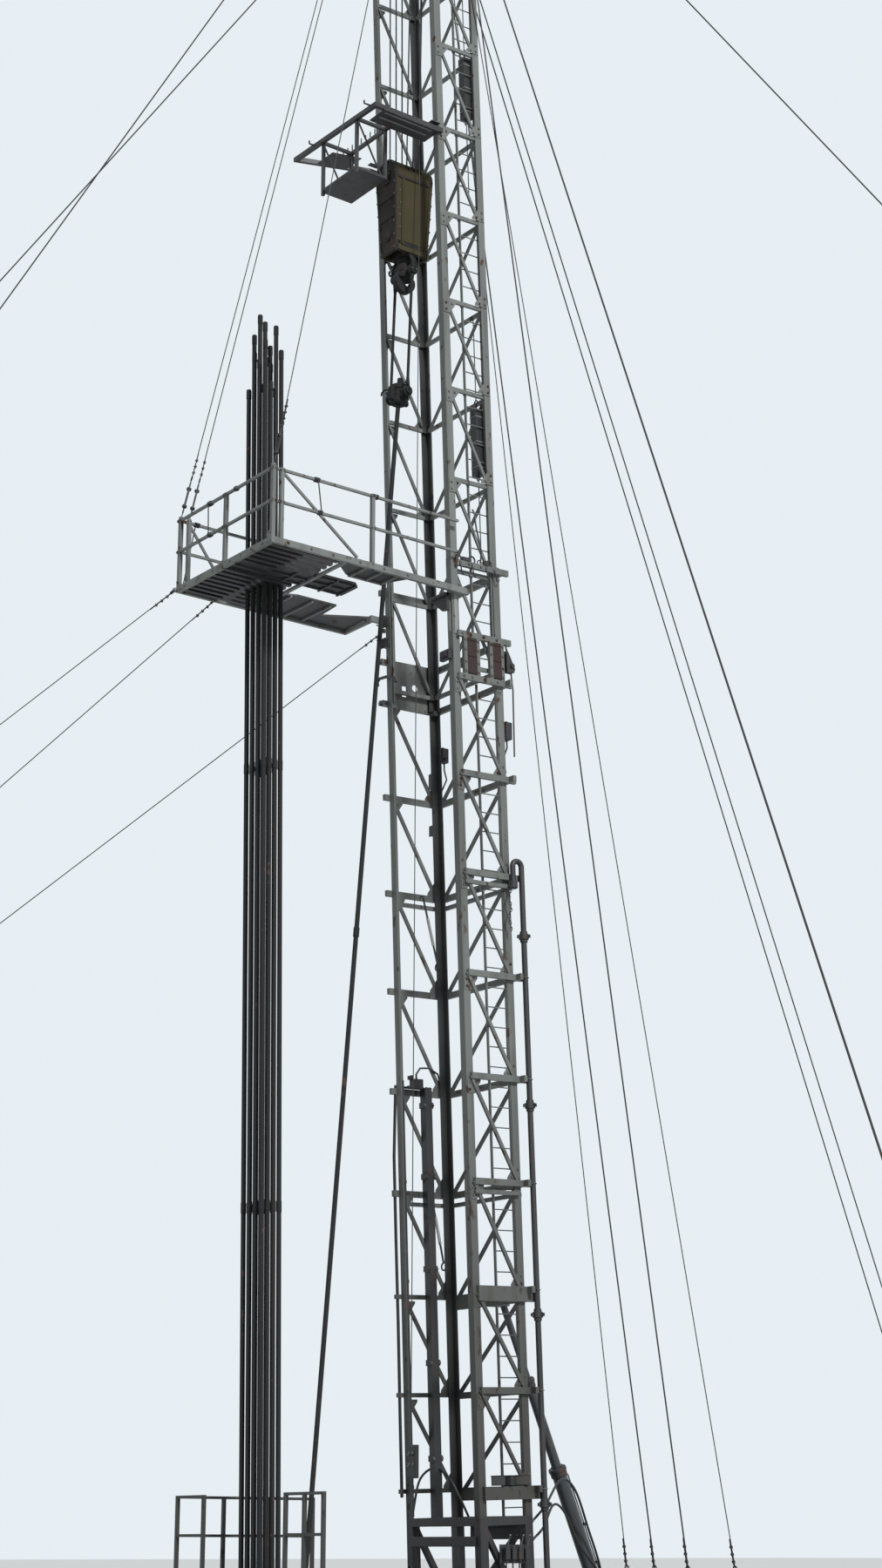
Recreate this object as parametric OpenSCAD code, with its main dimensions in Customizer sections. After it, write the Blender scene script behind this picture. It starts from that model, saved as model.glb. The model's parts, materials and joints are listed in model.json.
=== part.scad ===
// Guyed two-section drilling and well-servicing rig with an open-front mast
// Origin: ground level under the middle of the mast's open front, +Y towards the back

/* [Mast] */
// Forward lean of the mast over the well, in degrees
lean = 2; // [1:0.25:3]
// Width of the lower section over its legs
lower_w = 1770; // [1600:10:2000]
// Depth of the lower section over its legs
lower_d = 967; // [900:10:1150]
// Flange width of a leg angle
leg_flange = 127; // [110:1:150]
// Wall of a leg angle
leg_wall = 14; // [10:1:18]
// Play between the nested sections, on each side
nest_gap = 11; // [6:1:16]
// Height of the lowest girt of the lower section
first_level = 2469; // [2400:10:2550]
// Height of the lowest bay of the lower section
first_bay = 1392; // [1300:4:1500]
// Height of the second bay of the lower section
second_bay = 1451; // [1350:1:1550]
// Height of a regular bay of the lower section
lower_bay = 1567; // [1500:1:1620]
// Regular bays of the lower section
lower_bays = 6; // [5:1:6]
// Height of a bay of the upper section
upper_bay = 1562; // [1500:1:1620]
// Bays of the upper section
upper_bays = 10; // [9:1:11]
// Height of a side girt
girt_h = 95; // [70:5:110]
// Depth of a girt, out from the face
girt_t = 60; // [40:5:70]
// Width of a diagonal brace
brace_w = 52; // [40:2:70]
// Depth of a diagonal brace
brace_t = 40; // [30:2:50]

/* [Base] */
// Length of the skid behind the mast's front
skid_back = 5300; // [5200:50:5800]
// Length of the skid ahead of the mast's front
skid_front = 250; // [200:50:400]
// Height of the skid's runners
skid_h = 400; // [300:10:500]
// Height of the work floor's top
floor_z = 1250; // [1150:10:1300]
// Width of the work floor
floor_w = 3800; // [3400:50:4200]
// Front edge of the work floor, ahead of the mast
floor_front = 3500; // [3300:50:3800]
// Diameter of the opening over the well
well_d = 460; // [360:10:600]
// Height of a guard rail
rail_h = 1100; // [1000:10:1200]

/* [Tubing board] */
// Height of the board's deck
board_z = 16000; // [15700:50:16100]
// How far the board reaches ahead of the origin
board_reach = 4020; // [3800:10:4300]
// Reach of the board's far side from the middle
board_far = 1700; // [1500:10:1900]
// Depth of the outer deck
deck_depth = 720; // [600:10:900]
// Pitch of the slots that the tubing stands in
slot_pitch = 160; // [150:5:180]
// Height of the board's top rail
board_rail = 1130; // [1000:10:1250]
// Outer diameter of the racked tubing
tube_d = 73; // [60:1:89]

/* [Rod basket] */
// Height of the basket's top frame
basket_z = 24120; // [23950:10:24250]
// Drop of the basket's tray below its frame
tray_drop = 920; // [850:10:1000]

/* [Hoisting] */
// Width of the travelling block across its sheaves
block_w = 550; // [500:10:600]
// Front to back size of the travelling block
block_d = 750; // [700:10:800]
// Height of the travelling block's side plates
block_h = 1750; // [1650:10:1850]
// Height of the block's top at rest
block_top = 23850; // [23700:10:23900]
// Place of the hoisting line ahead of the origin
well_y = 870; // [840:5:900]
// Diameter of a block sheave
sheave_d = 610; // [560:10:640]
// Distance between the elevator links
link_gap = 460; // [420:10:480]
// Travel of the block above its rest height
hoist_up = 3500; // [3000:100:3800]
// Diameter of a guy line
guy_d = 24; // [16:2:30]
// Lean of the hanging stand, in degrees
stand_lean = 4.7; // [3:0.1:5.5]

/* [Hidden] */

steel = [0.62, 0.63, 0.60];
dark_steel = [0.22, 0.21, 0.22];
block_paint = [0.32, 0.27, 0.10];
rust = [0.33, 0.16, 0.12];

nest = leg_wall + nest_gap;
upper_w = lower_w - 2 * nest;
upper_d = lower_d - 2 * nest;
half_w = lower_w / 2;
half_u = upper_w / 2;
third_level = first_level + first_bay + second_bay;
function lower_level(i) =
    i == 0 ? first_level
    : i == 1 ? first_level + first_bay
    : third_level + (i - 2) * lower_bay;
lower_count = lower_bays + 3;
lock_level = lower_level(lower_count - 1);
second_ledge = lock_level + 700;
lower_top = lock_level + 1875;
foot_level = 2050;
upper_start = lock_level + 190;
function upper_level(i) = upper_start + i * upper_bay;
upper_top = upper_level(upper_bays) + 760;
crown_h = 150;

// Turns the mast's own frame into the leaning position over the well
module on_mast() {
    rotate([lean, 0, 0]) children();
}

// World position of a point given across, back and along the mast
function mast_point(p) = [
    p[0],
    p[1] * cos(lean) - p[2] * sin(lean),
    p[1] * sin(lean) + p[2] * cos(lean)
];

module angle_profile(f, t) {
    polygon([[0, 0], [f, 0], [f, t], [t, t], [t, f], [0, f]]);
}

// One rolled angle leg with its heel at the outer corner
module leg_angle(side, back, w, d, offset_back, h0, h1) {
    translate([side * w / 2, offset_back + back * d, h0])
        mirror([side > 0 ? 1 : 0, 0, 0])
            mirror([0, back, 0])
                linear_extrude(h1 - h0) angle_profile(leg_flange, leg_wall);
}

// Straight round member from p to q
module rod_between(p, q, r, sides = 24) {
    v = q - p;
    l = norm(v);
    translate(p)
        rotate([0, acos(v[2] / l), atan2(v[1], v[0])])
            cylinder(h = l, r = r, $fn = sides);
}

// Straight square member from p to q, upright when it runs level
module bar_between(p, q, wide, tall) {
    v = q - p;
    l = norm(v);
    translate(p)
        rotate([0, -asin(v[2] / l), atan2(v[1], v[0])])
            translate([0, -wide / 2, -tall / 2])
                cube([l, wide, tall]);
}

// Brace lying in a side face, between two points given as [back, height]
module side_brace(x, p, q, wide, thick) {
    v = q - p;
    translate([x, p[0], p[1]])
        rotate([atan2(v[1], v[0]), 0, 0])
            translate([0, 0, -wide / 2])
                cube([thick, norm(v), wide]);
}

// Brace lying in the back face, between two points given as [across, height]
module back_brace(y, p, q, wide, thick) {
    v = q - p;
    translate([p[0], y, p[1]])
        rotate([0, -atan2(v[1], v[0]), 0])
            translate([0, 0, -wide / 2])
                cube([norm(v), thick, wide]);
}

function unit(v) = v / norm(v);
function across(v) = [-v[1], v[0]];
// Corner i of a strip that runs beside a path at a distance
function beside(path, i, far) =
    let (a = unit(path[max(i, 1)] - path[max(i, 1) - 1]),
        k = min(i, len(path) - 2),
        b = unit(path[k + 1] - path[k]),
        n = unit(across(a) + across(b)))
    path[i] + n * far / (n * across(a));

// Outline of a mitred strip of one width along a path
function strip(path, wide) = concat(
    [for (i = [0:len(path) - 1]) beside(path, i, wide / 2)],
    [for (i = [0:len(path) - 1]) beside(path, len(path) - 1 - i, -wide / 2)]
);

eye_r = 40;
seat = 0.3;

// Round eye that a line is made fast to
module eye(p) {
    translate(p) sphere(r = eye_r, $fn = 14);
}

// Taut line between two eyes, its ends lying against them
module line(p, q, d) {
    e = (eye_r + seat) / norm(q - p);
    rod_between(p + (q - p) * e, q + (p - q) * e, d / 2, 8);
}

/* Base */

runner_x = half_w - 80;
runner_w = 200;
ram_foot_y = 3060;
ram_beam_d = 320;

module i_profile(w, h, flange, web) {
    polygon([
        [-w / 2, 0], [w / 2, 0], [w / 2, flange], [web / 2, flange],
        [web / 2, h - flange], [w / 2, h - flange], [w / 2, h], [-w / 2, h],
        [-w / 2, h - flange], [-web / 2, h - flange], [-web / 2, flange], [-w / 2, flange]
    ]);
}

// Eyes on the runners for the lines that brace the mast from behind
skid_eye_z = skid_h + 20;
skid_eye_right = [runner_x + runner_w / 2 + 20, 4000, skid_eye_z];
skid_eye_thin = [runner_x + 25, 5100, skid_eye_z];
skid_eye_left = [-runner_x - 40, 4900, skid_eye_z];
skid_eye_inner = [-runner_x + 20, 4250, skid_eye_z];
skid_eyes = [skid_eye_right, skid_eye_thin, skid_eye_left, skid_eye_inner];

module base_skid() {
    color(dark_steel) union() {
        for (s = [-1, 1])
            translate([s * runner_x, skid_back, 0])
                rotate([90, 0, 0])
                    linear_extrude(skid_back + skid_front)
                        i_profile(runner_w, skid_h, 20, 16);
        for (y = [-skid_front + 60, 1300, 2200, 3900, skid_back - 160])
            translate([-runner_x, y, 20])
                cube([2 * runner_x, 100, skid_h - 40]);
        translate([-runner_x, ram_foot_y - ram_beam_d / 2, 20])
            cube([2 * runner_x, ram_beam_d, skid_h - 40]);
        translate([-runner_x, -skid_front, 0])
            cube([2 * runner_x, skid_front + 700, 20]);
        for (p = skid_eyes)
            eye(p);
    }
}

jack_y = [250, 4800];
jack_out = 190;
jack_x = runner_x + runner_w / 2 + jack_out;
jack_foot_r = 170;
jack_sleeve = 140;

module levelling_jacks() {
    color(dark_steel)
        for (s = [-1, 1], y = jack_y)
            translate([s * jack_x, y, 0]) {
                cylinder(h = 30, r = jack_foot_r, $fn = 24);
                cylinder(h = skid_h + 250, r = 40, $fn = 24);
                translate([-jack_sleeve / 2, -jack_sleeve / 2, 170])
                    cube([jack_sleeve, jack_sleeve, skid_h + 20]);
                translate([s > 0 ? -jack_out : jack_sleeve / 2, -60, skid_h / 2])
                    cube([jack_out - jack_sleeve / 2, 120, skid_h / 2]);
            }
}

support_leg = 140;
floor_back = 120;
floor_beam_h = 160;
floor_plate = 8;

module mast_support_frame() {
    color(steel) union() {
        for (s = [-1, 1])
            translate([s * (half_w - 70) - 30, -floor_back, floor_z - floor_plate - 140])
                cube([60, floor_back + 20, 120]);
        difference() {
            on_mast() union() {
                for (s = [-1, 1], v = [0, lower_d - support_leg])
                    translate([s > 0 ? half_w - support_leg : -half_w, v, 0])
                        cube([support_leg, support_leg, foot_level]);
                for (v = [0, lower_d - support_leg])
                    translate([-half_w, v, foot_level - 120])
                        cube([lower_w, support_leg, 120]);
                for (s = [-1, 1]) {
                    translate([s > 0 ? half_w - support_leg : -half_w, 0, foot_level - 120])
                        cube([support_leg, lower_d, 120]);
                    side_brace(s > 0 ? half_w - 110 : -half_w + 30, [60, foot_level - 60],
                        [lower_d - 70, skid_h + 120], 80, 80);
                }
                back_brace(lower_d - 110, [-half_w + 70, skid_h + 160],
                    [half_w - 70, foot_level - 60], 80, 80);
            }
            translate([-lower_w, -lower_w, skid_h - lower_w])
                cube([2 * lower_w, 3 * lower_w, lower_w]);
        }
    }
}

floor_leg = 100;

module work_floor() {
    deck_z = floor_z - floor_plate;
    deep = floor_front - floor_back;
    color(dark_steel) difference() {
        union() {
            translate([-floor_w / 2, -floor_front, deck_z])
                cube([floor_w, deep, floor_plate]);
            for (s = [-1, 1])
                translate([s > 0 ? floor_w / 2 - 80 : -floor_w / 2, -floor_front, deck_z - floor_beam_h])
                    cube([80, deep, floor_beam_h]);
            for (y = [-floor_front, -2500, -1700, -floor_back - 80])
                translate([-floor_w / 2, y, deck_z - floor_beam_h])
                    cube([floor_w, 80, floor_beam_h]);
            for (s = [-1, 1], y = [-floor_front, -floor_back - floor_leg])
                translate([s > 0 ? floor_w / 2 - floor_leg : -floor_w / 2, y, 0])
                    cube([floor_leg, floor_leg, deck_z]);
        }
        translate([0, -well_y, floor_z - 400])
            cylinder(h = 500, r = well_d / 2, $fn = 48);
    }
}

module rail_run(p, q, posts) {
    for (z = [rail_h - 20, rail_h / 2])
        bar_between(p + [0, 0, z], q + [0, 0, z], 40, 40);
    for (i = [0:posts - 1])
        translate(p + (q - p) * i / (posts - 1) - [25, 25, 0])
            cube([50, 50, rail_h]);
}

module floor_railings() {
    edge = floor_w / 2 - 60;
    front = -floor_front + 60;
    color(steel) {
        union() {
            rail_run([-edge, front, floor_z], [-edge, -1100, floor_z], 4);
            rail_run([-edge, front, floor_z], [-edge + 700, front, floor_z], 2);
        }
        rail_run([edge - 900, front, floor_z], [edge, front, floor_z], 3);
    }
}

/* Lower section of the mast */

leg_eye = mast_point([-half_w - 20, -20, 15900]);

module lower_mast_legs() {
    color(steel) on_mast()
        for (s = [-1, 1], b = [0, 1])
            leg_angle(s, b, lower_w, lower_d, 0, foot_level, lower_top + 40);
    color(steel) eye(leg_eye);
}

past_front = 90;
past_back = 150;
stub_l = 120;
// Girt that the standpipe's bend reaches past
bend_level = 6;

// Clear height of a girt: the third one carries the raising ram
function right_girt(i) = i == 2 ? 220 : i == 0 ? 190 : girt_h;
function left_girt(i) = i < 3 ? 65 : girt_h;
double_levels = [3, 6];

module lower_left_bracing() {
    x = -half_w - girt_t;
    color(steel) on_mast() union() {
        for (i = [0:lower_count - 1])
            translate([x, -past_front, lower_level(i) - left_girt(i)])
                cube([girt_t, lower_d + past_front, left_girt(i)]);
        for (i = double_levels)
            translate([x, leg_flange / 2, lower_level(i) - 230])
                cube([girt_t, lower_d - leg_flange, 60]);
        for (i = [0:lower_count - 2])
            side_brace(x + girt_t - brace_t, [leg_flange / 2, lower_level(i + 1) - left_girt(i + 1) / 2],
                [lower_d - leg_flange / 2, lower_level(i) - left_girt(i) / 2], brace_w, brace_t);
    }
}

module lower_right_bracing() {
    color(steel) on_mast() union() {
        for (i = [0:lower_count - 1]) {
            translate([half_w, leg_flange / 2, lower_level(i) - right_girt(i)])
                cube([girt_t, lower_d + past_back - leg_flange / 2, right_girt(i)]);
            if (i != bend_level)
                translate([half_w + girt_t, lower_d, lower_level(i) - girt_h])
                    cube([stub_l, girt_t, girt_h]);
        }
        for (i = double_levels)
            translate([half_w, leg_flange / 2, lower_level(i) - 230])
                cube([girt_t, lower_d - leg_flange, 60]);
        for (i = [0:lower_count - 2])
            side_brace(half_w, [leg_flange / 2, lower_level(i + 1) - right_girt(i + 1) / 2],
                [lower_d - leg_flange / 2, lower_level(i) - right_girt(i) / 2], brace_w, brace_t);
    }
}

ram_lug_h = lower_level(2) - 110;
ram_lug_out = 270;

module lower_back_bracing() {
    color(steel) on_mast() union() {
        for (i = [0:lower_count - 1])
            translate([-half_w, lower_d, lower_level(i) - right_girt(i)])
                cube([lower_w, girt_t, right_girt(i)]);
        for (i = double_levels)
            translate([-half_w + leg_flange / 2, lower_d, lower_level(i) - 230])
                cube([lower_w - leg_flange, girt_t, 60]);
        for (i = [0:lower_count - 2])
            back_brace(lower_d, [half_w - leg_flange / 2, lower_level(i + 1) - right_girt(i + 1) / 2],
                [-half_w + leg_flange / 2, lower_level(i) - right_girt(i) / 2], brace_w, brace_t);
        for (s = [-1, 1])
            translate([s * 95 - 15, lower_d + girt_t, ram_lug_h - 110])
                cube([30, ram_lug_out, 220]);
    }
}

// Where the upper legs stand on the head's lock dogs
upper_foot = lock_level - 60;
dog_w = 100;
dog_h = 80;
head_posts = [170, 420, 680, lower_d - girt_t];
plate_t = 12;

// Ring of girts round the left, back and right of the head
module head_ring(z) {
    translate([-half_w - girt_t, -past_front, z - girt_h])
        cube([girt_t, lower_d + past_front + girt_t, girt_h]);
    translate([half_w, leg_flange / 2, z - girt_h])
        cube([girt_t, lower_d + past_back - leg_flange / 2, girt_h]);
    translate([-half_w, lower_d, z - girt_h])
        cube([lower_w, girt_t, girt_h]);
}

module lower_mast_head() {
    post_h = second_ledge - girt_h - lock_level;
    panel_h = post_h - 20;
    color(steel) on_mast() {
        head_ring(second_ledge);
        head_ring(lower_top);
        // Posts on the right, and posts with the cut plate on the left
        for (v = head_posts)
            translate([half_w, v, lock_level]) cube([girt_t, girt_t, post_h]);
        union() {
            for (v = head_posts)
                translate([-half_w - girt_t, v, lock_level]) cube([girt_t, girt_t, post_h]);
            difference() {
                translate([-half_w - plate_t, 80, lock_level])
                    cube([plate_t, lower_d - 120, post_h]);
                translate([-half_w - 20, 300, lock_level + 120])
                    cube([40, 110, 180]);
                translate([-half_w - 20, 560, lock_level + 300]) rotate([0, 90, 0])
                    cylinder(h = 40, r = 55, $fn = 24);
            }
        }
        for (s = [-1, 1], b = [0, 1])
            translate([s > 0 ? half_w - leg_wall - dog_w : -half_w + leg_wall,
                b > 0 ? lower_d - leg_wall - dog_w : leg_wall, upper_foot - dog_h])
                cube([dog_w, dog_w, dog_h]);
        for (s = [-1, 1], b = [0, 1])
            translate([s > 0 ? half_w - leg_wall - nest_gap : -half_w + leg_wall,
                b > 0 ? lower_d - nest - 80 : nest + 20, lower_top - 220])
                cube([nest_gap, 60, 180]);
    }
    color(rust) on_mast()
        for (i = [0, 2])
            translate([half_w + 10, head_posts[i] + girt_t, lock_level])
                cube([plate_t, head_posts[i + 1] - head_posts[i] - girt_t, panel_h]);
}

/* Upper section of the mast */

module upper_mast_legs() {
    color(steel) on_mast()
        for (s = [-1, 1], b = [0, 1])
            leg_angle(s, b, upper_w, upper_d, nest, upper_foot, upper_top);
}

upper_girt_h = 65;
upper_girt_t = 45;
upper_brace_w = 48;
upper_brace_t = 35;
upper_in = half_u - leg_wall;

module upper_side_bracing(s) {
    x = s > 0 ? upper_in - upper_girt_t : -upper_in;
    xb = s > 0 ? upper_in - upper_brace_t : -upper_in;
    v0 = nest + leg_wall;
    v1 = nest + upper_d - leg_wall;
    color(steel) on_mast() union() {
        for (i = [0:upper_bays])
            translate([x, v0, upper_level(i) - upper_girt_h])
                cube([upper_girt_t, v1 - v0, upper_girt_h]);
        for (i = [0:upper_bays - 1])
            side_brace(xb, [v0 + leg_flange / 2, upper_level(i + 1) - upper_girt_h / 2],
                [v1 - leg_flange / 2, upper_level(i) - upper_girt_h / 2], upper_brace_w, upper_brace_t);
    }
}

module upper_left_bracing() {
    upper_side_bracing(-1);
}

module upper_right_bracing() {
    upper_side_bracing(1);
}

module upper_back_bracing() {
    y = nest + upper_d - leg_wall - upper_girt_t;
    yb = y + (upper_girt_t - upper_brace_t) / 2;
    x1 = upper_in - upper_girt_t;
    color(steel) on_mast() union() {
        for (i = [0:upper_bays])
            translate([-x1, y, upper_level(i) - upper_girt_h])
                cube([2 * x1, upper_girt_t, upper_girt_h]);
        for (i = [0:upper_bays - 1])
            back_brace(yb, [x1 - 60, upper_level(i + 1) - upper_girt_h / 2],
                [-x1 + 60, upper_level(i) - upper_girt_h / 2], upper_brace_w, upper_brace_t);
    }
}

/* Ladders */

ladder_w = 400;
lower_ladder_v = 450;
upper_ladder_v = 470;
rung_pitch = 304.8;
rail_wide = 45;
rail_thick = 20;

// Ladder on the inside of the right face, with its rungs joined into the rails
module ladder(x, v, h0, h1) {
    rungs = floor((h1 - h0 - 200) / rung_pitch);
    union() {
        for (y = [v, v + ladder_w - rail_thick])
            translate([x - rail_wide, y, h0])
                cube([rail_wide, rail_thick, h1 - h0]);
        for (i = [0:rungs])
            translate([x - rail_wide / 2, v, h0 + 120 + i * rung_pitch])
                rotate([-90, 0, 0])
                    cylinder(h = ladder_w, r = 10, $fn = 6);
    }
}

module lower_ladder() {
    color(steel) on_mast() union() {
        ladder(half_w - leg_wall, lower_ladder_v, foot_level, upper_foot - 60);
        for (i = [0:lower_count - 2])
            translate([half_w - leg_wall, lower_ladder_v, lower_level(i) - 60])
                cube([leg_wall, rail_thick, 40]);
    }
}

module upper_ladder() {
    color(steel) on_mast()
        ladder(upper_in - upper_girt_t, upper_ladder_v, upper_foot, upper_top - 200);
}

/* Pieces beside the lower section */

column_w = 130;
column_v = 455;
column_top = lower_level(4) + 5;

cap_t = 20;
column_wall = 8;

module side_column() {
    color(steel) on_mast() translate([-half_w, 0, 0]) union() {
        difference() {
            translate([0, column_v, foot_level])
                cube([column_w, column_w, column_top - foot_level]);
            translate([column_wall, column_v + column_wall, foot_level - 10])
                cube([column_w - 2 * column_wall, column_w - 2 * column_wall, column_top - foot_level]);
        }
        translate([0, leg_flange + 5, column_top])
            cube([column_w, column_v + column_w - leg_flange, cap_t]);
        translate([20, 240, column_top + cap_t])
            cube([90, 200, 130]);
    }
}

ram_top = mast_point([0, lower_d + girt_t + ram_lug_out - 70, ram_lug_h]);
ram_foot = [0, ram_foot_y, skid_h + 130];
ram_plate = 20;

function along(p, q, d) = p + (q - p) * d / norm(q - p);

module raising_ram() {
    color(steel) union() {
        translate(ram_top) rotate([0, 90, 0])
            translate([0, 0, -80]) cylinder(h = 160, r = 55, $fn = 32);
        rod_between(along(ram_top, ram_foot, 40), ram_foot, 52, 32);
        rod_between(along(ram_top, ram_foot, 1300), ram_foot, 75, 32);
        rod_between(along(ram_top, ram_foot, 2700), ram_foot, 112, 32);
        translate(ram_foot) rotate([0, 90, 0])
            translate([0, 0, -90]) cylinder(h = 180, r = 100, $fn = 32);
        for (s = [-1, 1])
            translate([s * 105 - 15, ram_foot_y - 120, skid_h - 20])
                cube([30, 240, 260]);
        translate([-120, ram_foot_y - 150, skid_h - 20])
            cube([240, 300, ram_plate]);
    }
}

pipe_r = 44;
pipe_x = half_w + girt_t + pipe_r + 6;
pipe_v = lower_d + 145;
bend_r = 85;
pipe_low = 1000;
pipe_top = lower_level(bend_level) + 120;
pipe_end = 300;
clamp_levels = [0, 1, 2, 3, 4, 5];

module standpipe() {
    color(dark_steel) on_mast() union() {
        translate([pipe_x, pipe_v, pipe_low])
            cylinder(h = pipe_top - pipe_low, r = pipe_r, $fn = 24);
        for (i = clamp_levels)
            translate([half_w + girt_t, pipe_v - 45, lower_level(i) - 80])
                cube([pipe_x - half_w - girt_t, 50, 60]);
        translate([pipe_x, pipe_v - bend_r, pipe_top])
            rotate([0, 0, 90]) rotate([90, 0, 0])
                rotate_extrude(angle = 180, $fn = 48)
                    translate([bend_r, 0]) circle(r = pipe_r, $fn = 24);
        translate([pipe_x, pipe_v - 2 * bend_r, pipe_top - pipe_end])
            cylinder(h = pipe_end, r = pipe_r, $fn = 24);
    }
}

/* Crown */

crown_over = 60;
crown_beam = 100;
crown_mid = upper_top + crown_h / 2;
sheave_r = sheave_d / 2;
sheave_up = sheave_r + 15;
shaft_r = 45;
inner_beam_x = 330;
inner_beam_w = 90;
crown_front_v = nest - crown_over;
crown_back_v = nest + upper_d + crown_over;
// Height along the mast of the sheave shaft, and its place from the front
shaft_h = upper_top + crown_h + sheave_up;
shaft_v = (shaft_h * sin(lean) - well_y) / cos(lean);
shaft_z = mast_point([0, shaft_v, shaft_h])[2];
bearing_d = 180;

// Eyes round the crown, at the height of its beams
function crown_eye(x, v) = mast_point([x, v, crown_mid]);
side_eye_x = half_u + eye_r / 2;
front_eye_v = crown_front_v - eye_r / 2;
back_eye_v = crown_back_v + eye_r / 2;
eye_front_left = crown_eye(-side_eye_x, front_eye_v);
eye_front_right = crown_eye(side_eye_x, front_eye_v);
eye_back_left = crown_eye(-side_eye_x, back_eye_v);
eye_back_right = crown_eye(side_eye_x, back_eye_v);
eye_step = 150;
eye_hang_left = crown_eye(-half_u + eye_step, front_eye_v);
eye_hang_pair = crown_eye(-half_u + 2 * eye_step, front_eye_v);
eye_hang_right = crown_eye(half_u - eye_step, front_eye_v);
eye_side_thin = crown_eye(side_eye_x, 120);
eye_side_load = crown_eye(side_eye_x, 440);
eyes_back = [for (k = [1:4]) crown_eye(-half_u + k * eye_step, back_eye_v)];

module crown_frame() {
    color(steel) union() {
        on_mast() {
            for (s = [-1, 1])
                translate([s > 0 ? half_u - crown_beam : -half_u, crown_front_v, upper_top])
                    cube([crown_beam, crown_back_v - crown_front_v, crown_h]);
            for (v = [crown_front_v, crown_back_v - crown_beam])
                translate([-half_u, v, upper_top])
                    cube([upper_w, crown_beam, crown_h]);
            for (s = [-1, 1]) {
                translate([s > 0 ? inner_beam_x : -inner_beam_x - inner_beam_w, crown_front_v, upper_top])
                    cube([inner_beam_w, crown_back_v - crown_front_v, crown_h]);
                difference() {
                    translate([s > 0 ? inner_beam_x : -inner_beam_x - inner_beam_w,
                        shaft_v - bearing_d / 2, upper_top + crown_h])
                        cube([inner_beam_w, bearing_d, sheave_up + bearing_d / 2]);
                    translate([-inner_beam_x - 2 * inner_beam_w, shaft_v, shaft_h])
                        rotate([0, 90, 0])
                            cylinder(h = 2 * inner_beam_x + 4 * inner_beam_w, r = shaft_r + seat, $fn = 32);
                }
            }
        }
        for (p = concat(eyes_back, [eye_front_left, eye_front_right, eye_back_left, eye_back_right,
            eye_hang_left, eye_hang_pair, eye_hang_right, eye_side_thin, eye_side_load]))
            eye(p);
    }
}

crown_sheave_x = [-195, -65, 65, 195];
sheave_w = 60;

module crown_sheaves() {
    shaft_l = 2 * (inner_beam_x + inner_beam_w) + 20;
    color(dark_steel)
        translate([0, -well_y, shaft_z])
            rotate([0, 90, 0]) union() {
                translate([0, 0, -shaft_l / 2]) cylinder(h = shaft_l, r = shaft_r, $fn = 32);
                for (x = crown_sheave_x)
                    translate([0, 0, x - sheave_w / 2]) cylinder(h = sheave_w, r = sheave_r, $fn = 48);
            }
}

/* Racked tubing */

rack_cols = 4;
rack_rows = 4;
row_pitch = 100;
// Free length of the fingers inward of the deck
finger_len = 560;
finger_w = 75;
// Middle of the rack on the floor and at the board
rack_foot = [-500, -2900];
rack_head = [-720, deck_depth + finger_len / 2 - board_reach];
rack_top = 19450;
stagger_step = 200;
rack_tilt = atan(norm(rack_head - rack_foot) / (board_z - floor_z));
rack_seat = seat + tube_d / 2 * sin(rack_tilt);
function rack_lean(z) = rack_foot + (rack_head - rack_foot) * (z - floor_z) / (board_z - floor_z);
function rack_at(c, r, z) = concat(
    rack_lean(z) + [(c - (rack_cols - 1) / 2) * slot_pitch, (r - (rack_rows - 1) / 2) * row_pitch], [z]);
function stagger(c, r) = ((c * 3 + r * 5) % 7) * stagger_step;

module racked_tubing() {
    color(dark_steel)
        for (c = [0:rack_cols - 1], r = [0:rack_rows - 1])
            rod_between(rack_at(c, r, floor_z + rack_seat), rack_at(c, r, rack_top + stagger(c, r)), tube_d / 2, 16);
}

/* Tubing board */

hanger_d = 16;
board_bar = 60;
board_deep = 100;
rail_bar = 40;
finger_h = 50;
deck_t = 30;
board_x = half_w + girt_t;
near_y = -mast_point([0, 0, board_z])[1];
// Middles of the slots, numbered from the first column of tubing
function slot_x(i) = rack_head[0] + (i - (rack_cols - 1) / 2) * slot_pitch;
// The middle gangway takes the place of the slots between these numbers
gangway_slots = [4, 7];
far_slots = 3;
near_slots = 4;
finger_x = [
    for (i = [-far_slots:gangway_slots[0]]) slot_x(i - 0.5),
    for (i = [gangway_slots[1] + 1:gangway_slots[1] + 1 + near_slots]) slot_x(i - 0.5)
];
gangway_x = [slot_x(gangway_slots[0] - 0.5) + finger_w / 2, slot_x(gangway_slots[1] + 0.5) - finger_w / 2];
gangway_end = 1800;
// Where the two side gangways start and stop
side_start = 2650;
side_end = 1350;
near_plate_w = 500;
far_plate_w = 800;
far_end = 780;
post_pair = 150;
far_rail_end = 2600;
board_corner_eye = [-board_far - 15, -board_reach - 15, board_z + 50];
board_side_eye = [-board_far - 20, -far_rail_end - 700, board_z + 50];
// Eyes on top of the outer rail posts
post_eye_z = board_z + board_deep + board_rail + 20;
post_eye_left = [-board_far + board_bar / 2, -board_reach + board_bar / 2, post_eye_z];
post_eye_pair = post_eye_left + [0, post_pair, 0];
post_eye_right = [board_x + board_bar / 2, -board_reach + board_bar / 2, post_eye_z];

// Bar of the board's frame along Y
module board_bar_y(x, from, to, wide) {
    translate([x, -from, 0]) cube([wide, from - to, board_deep]);
}

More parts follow.
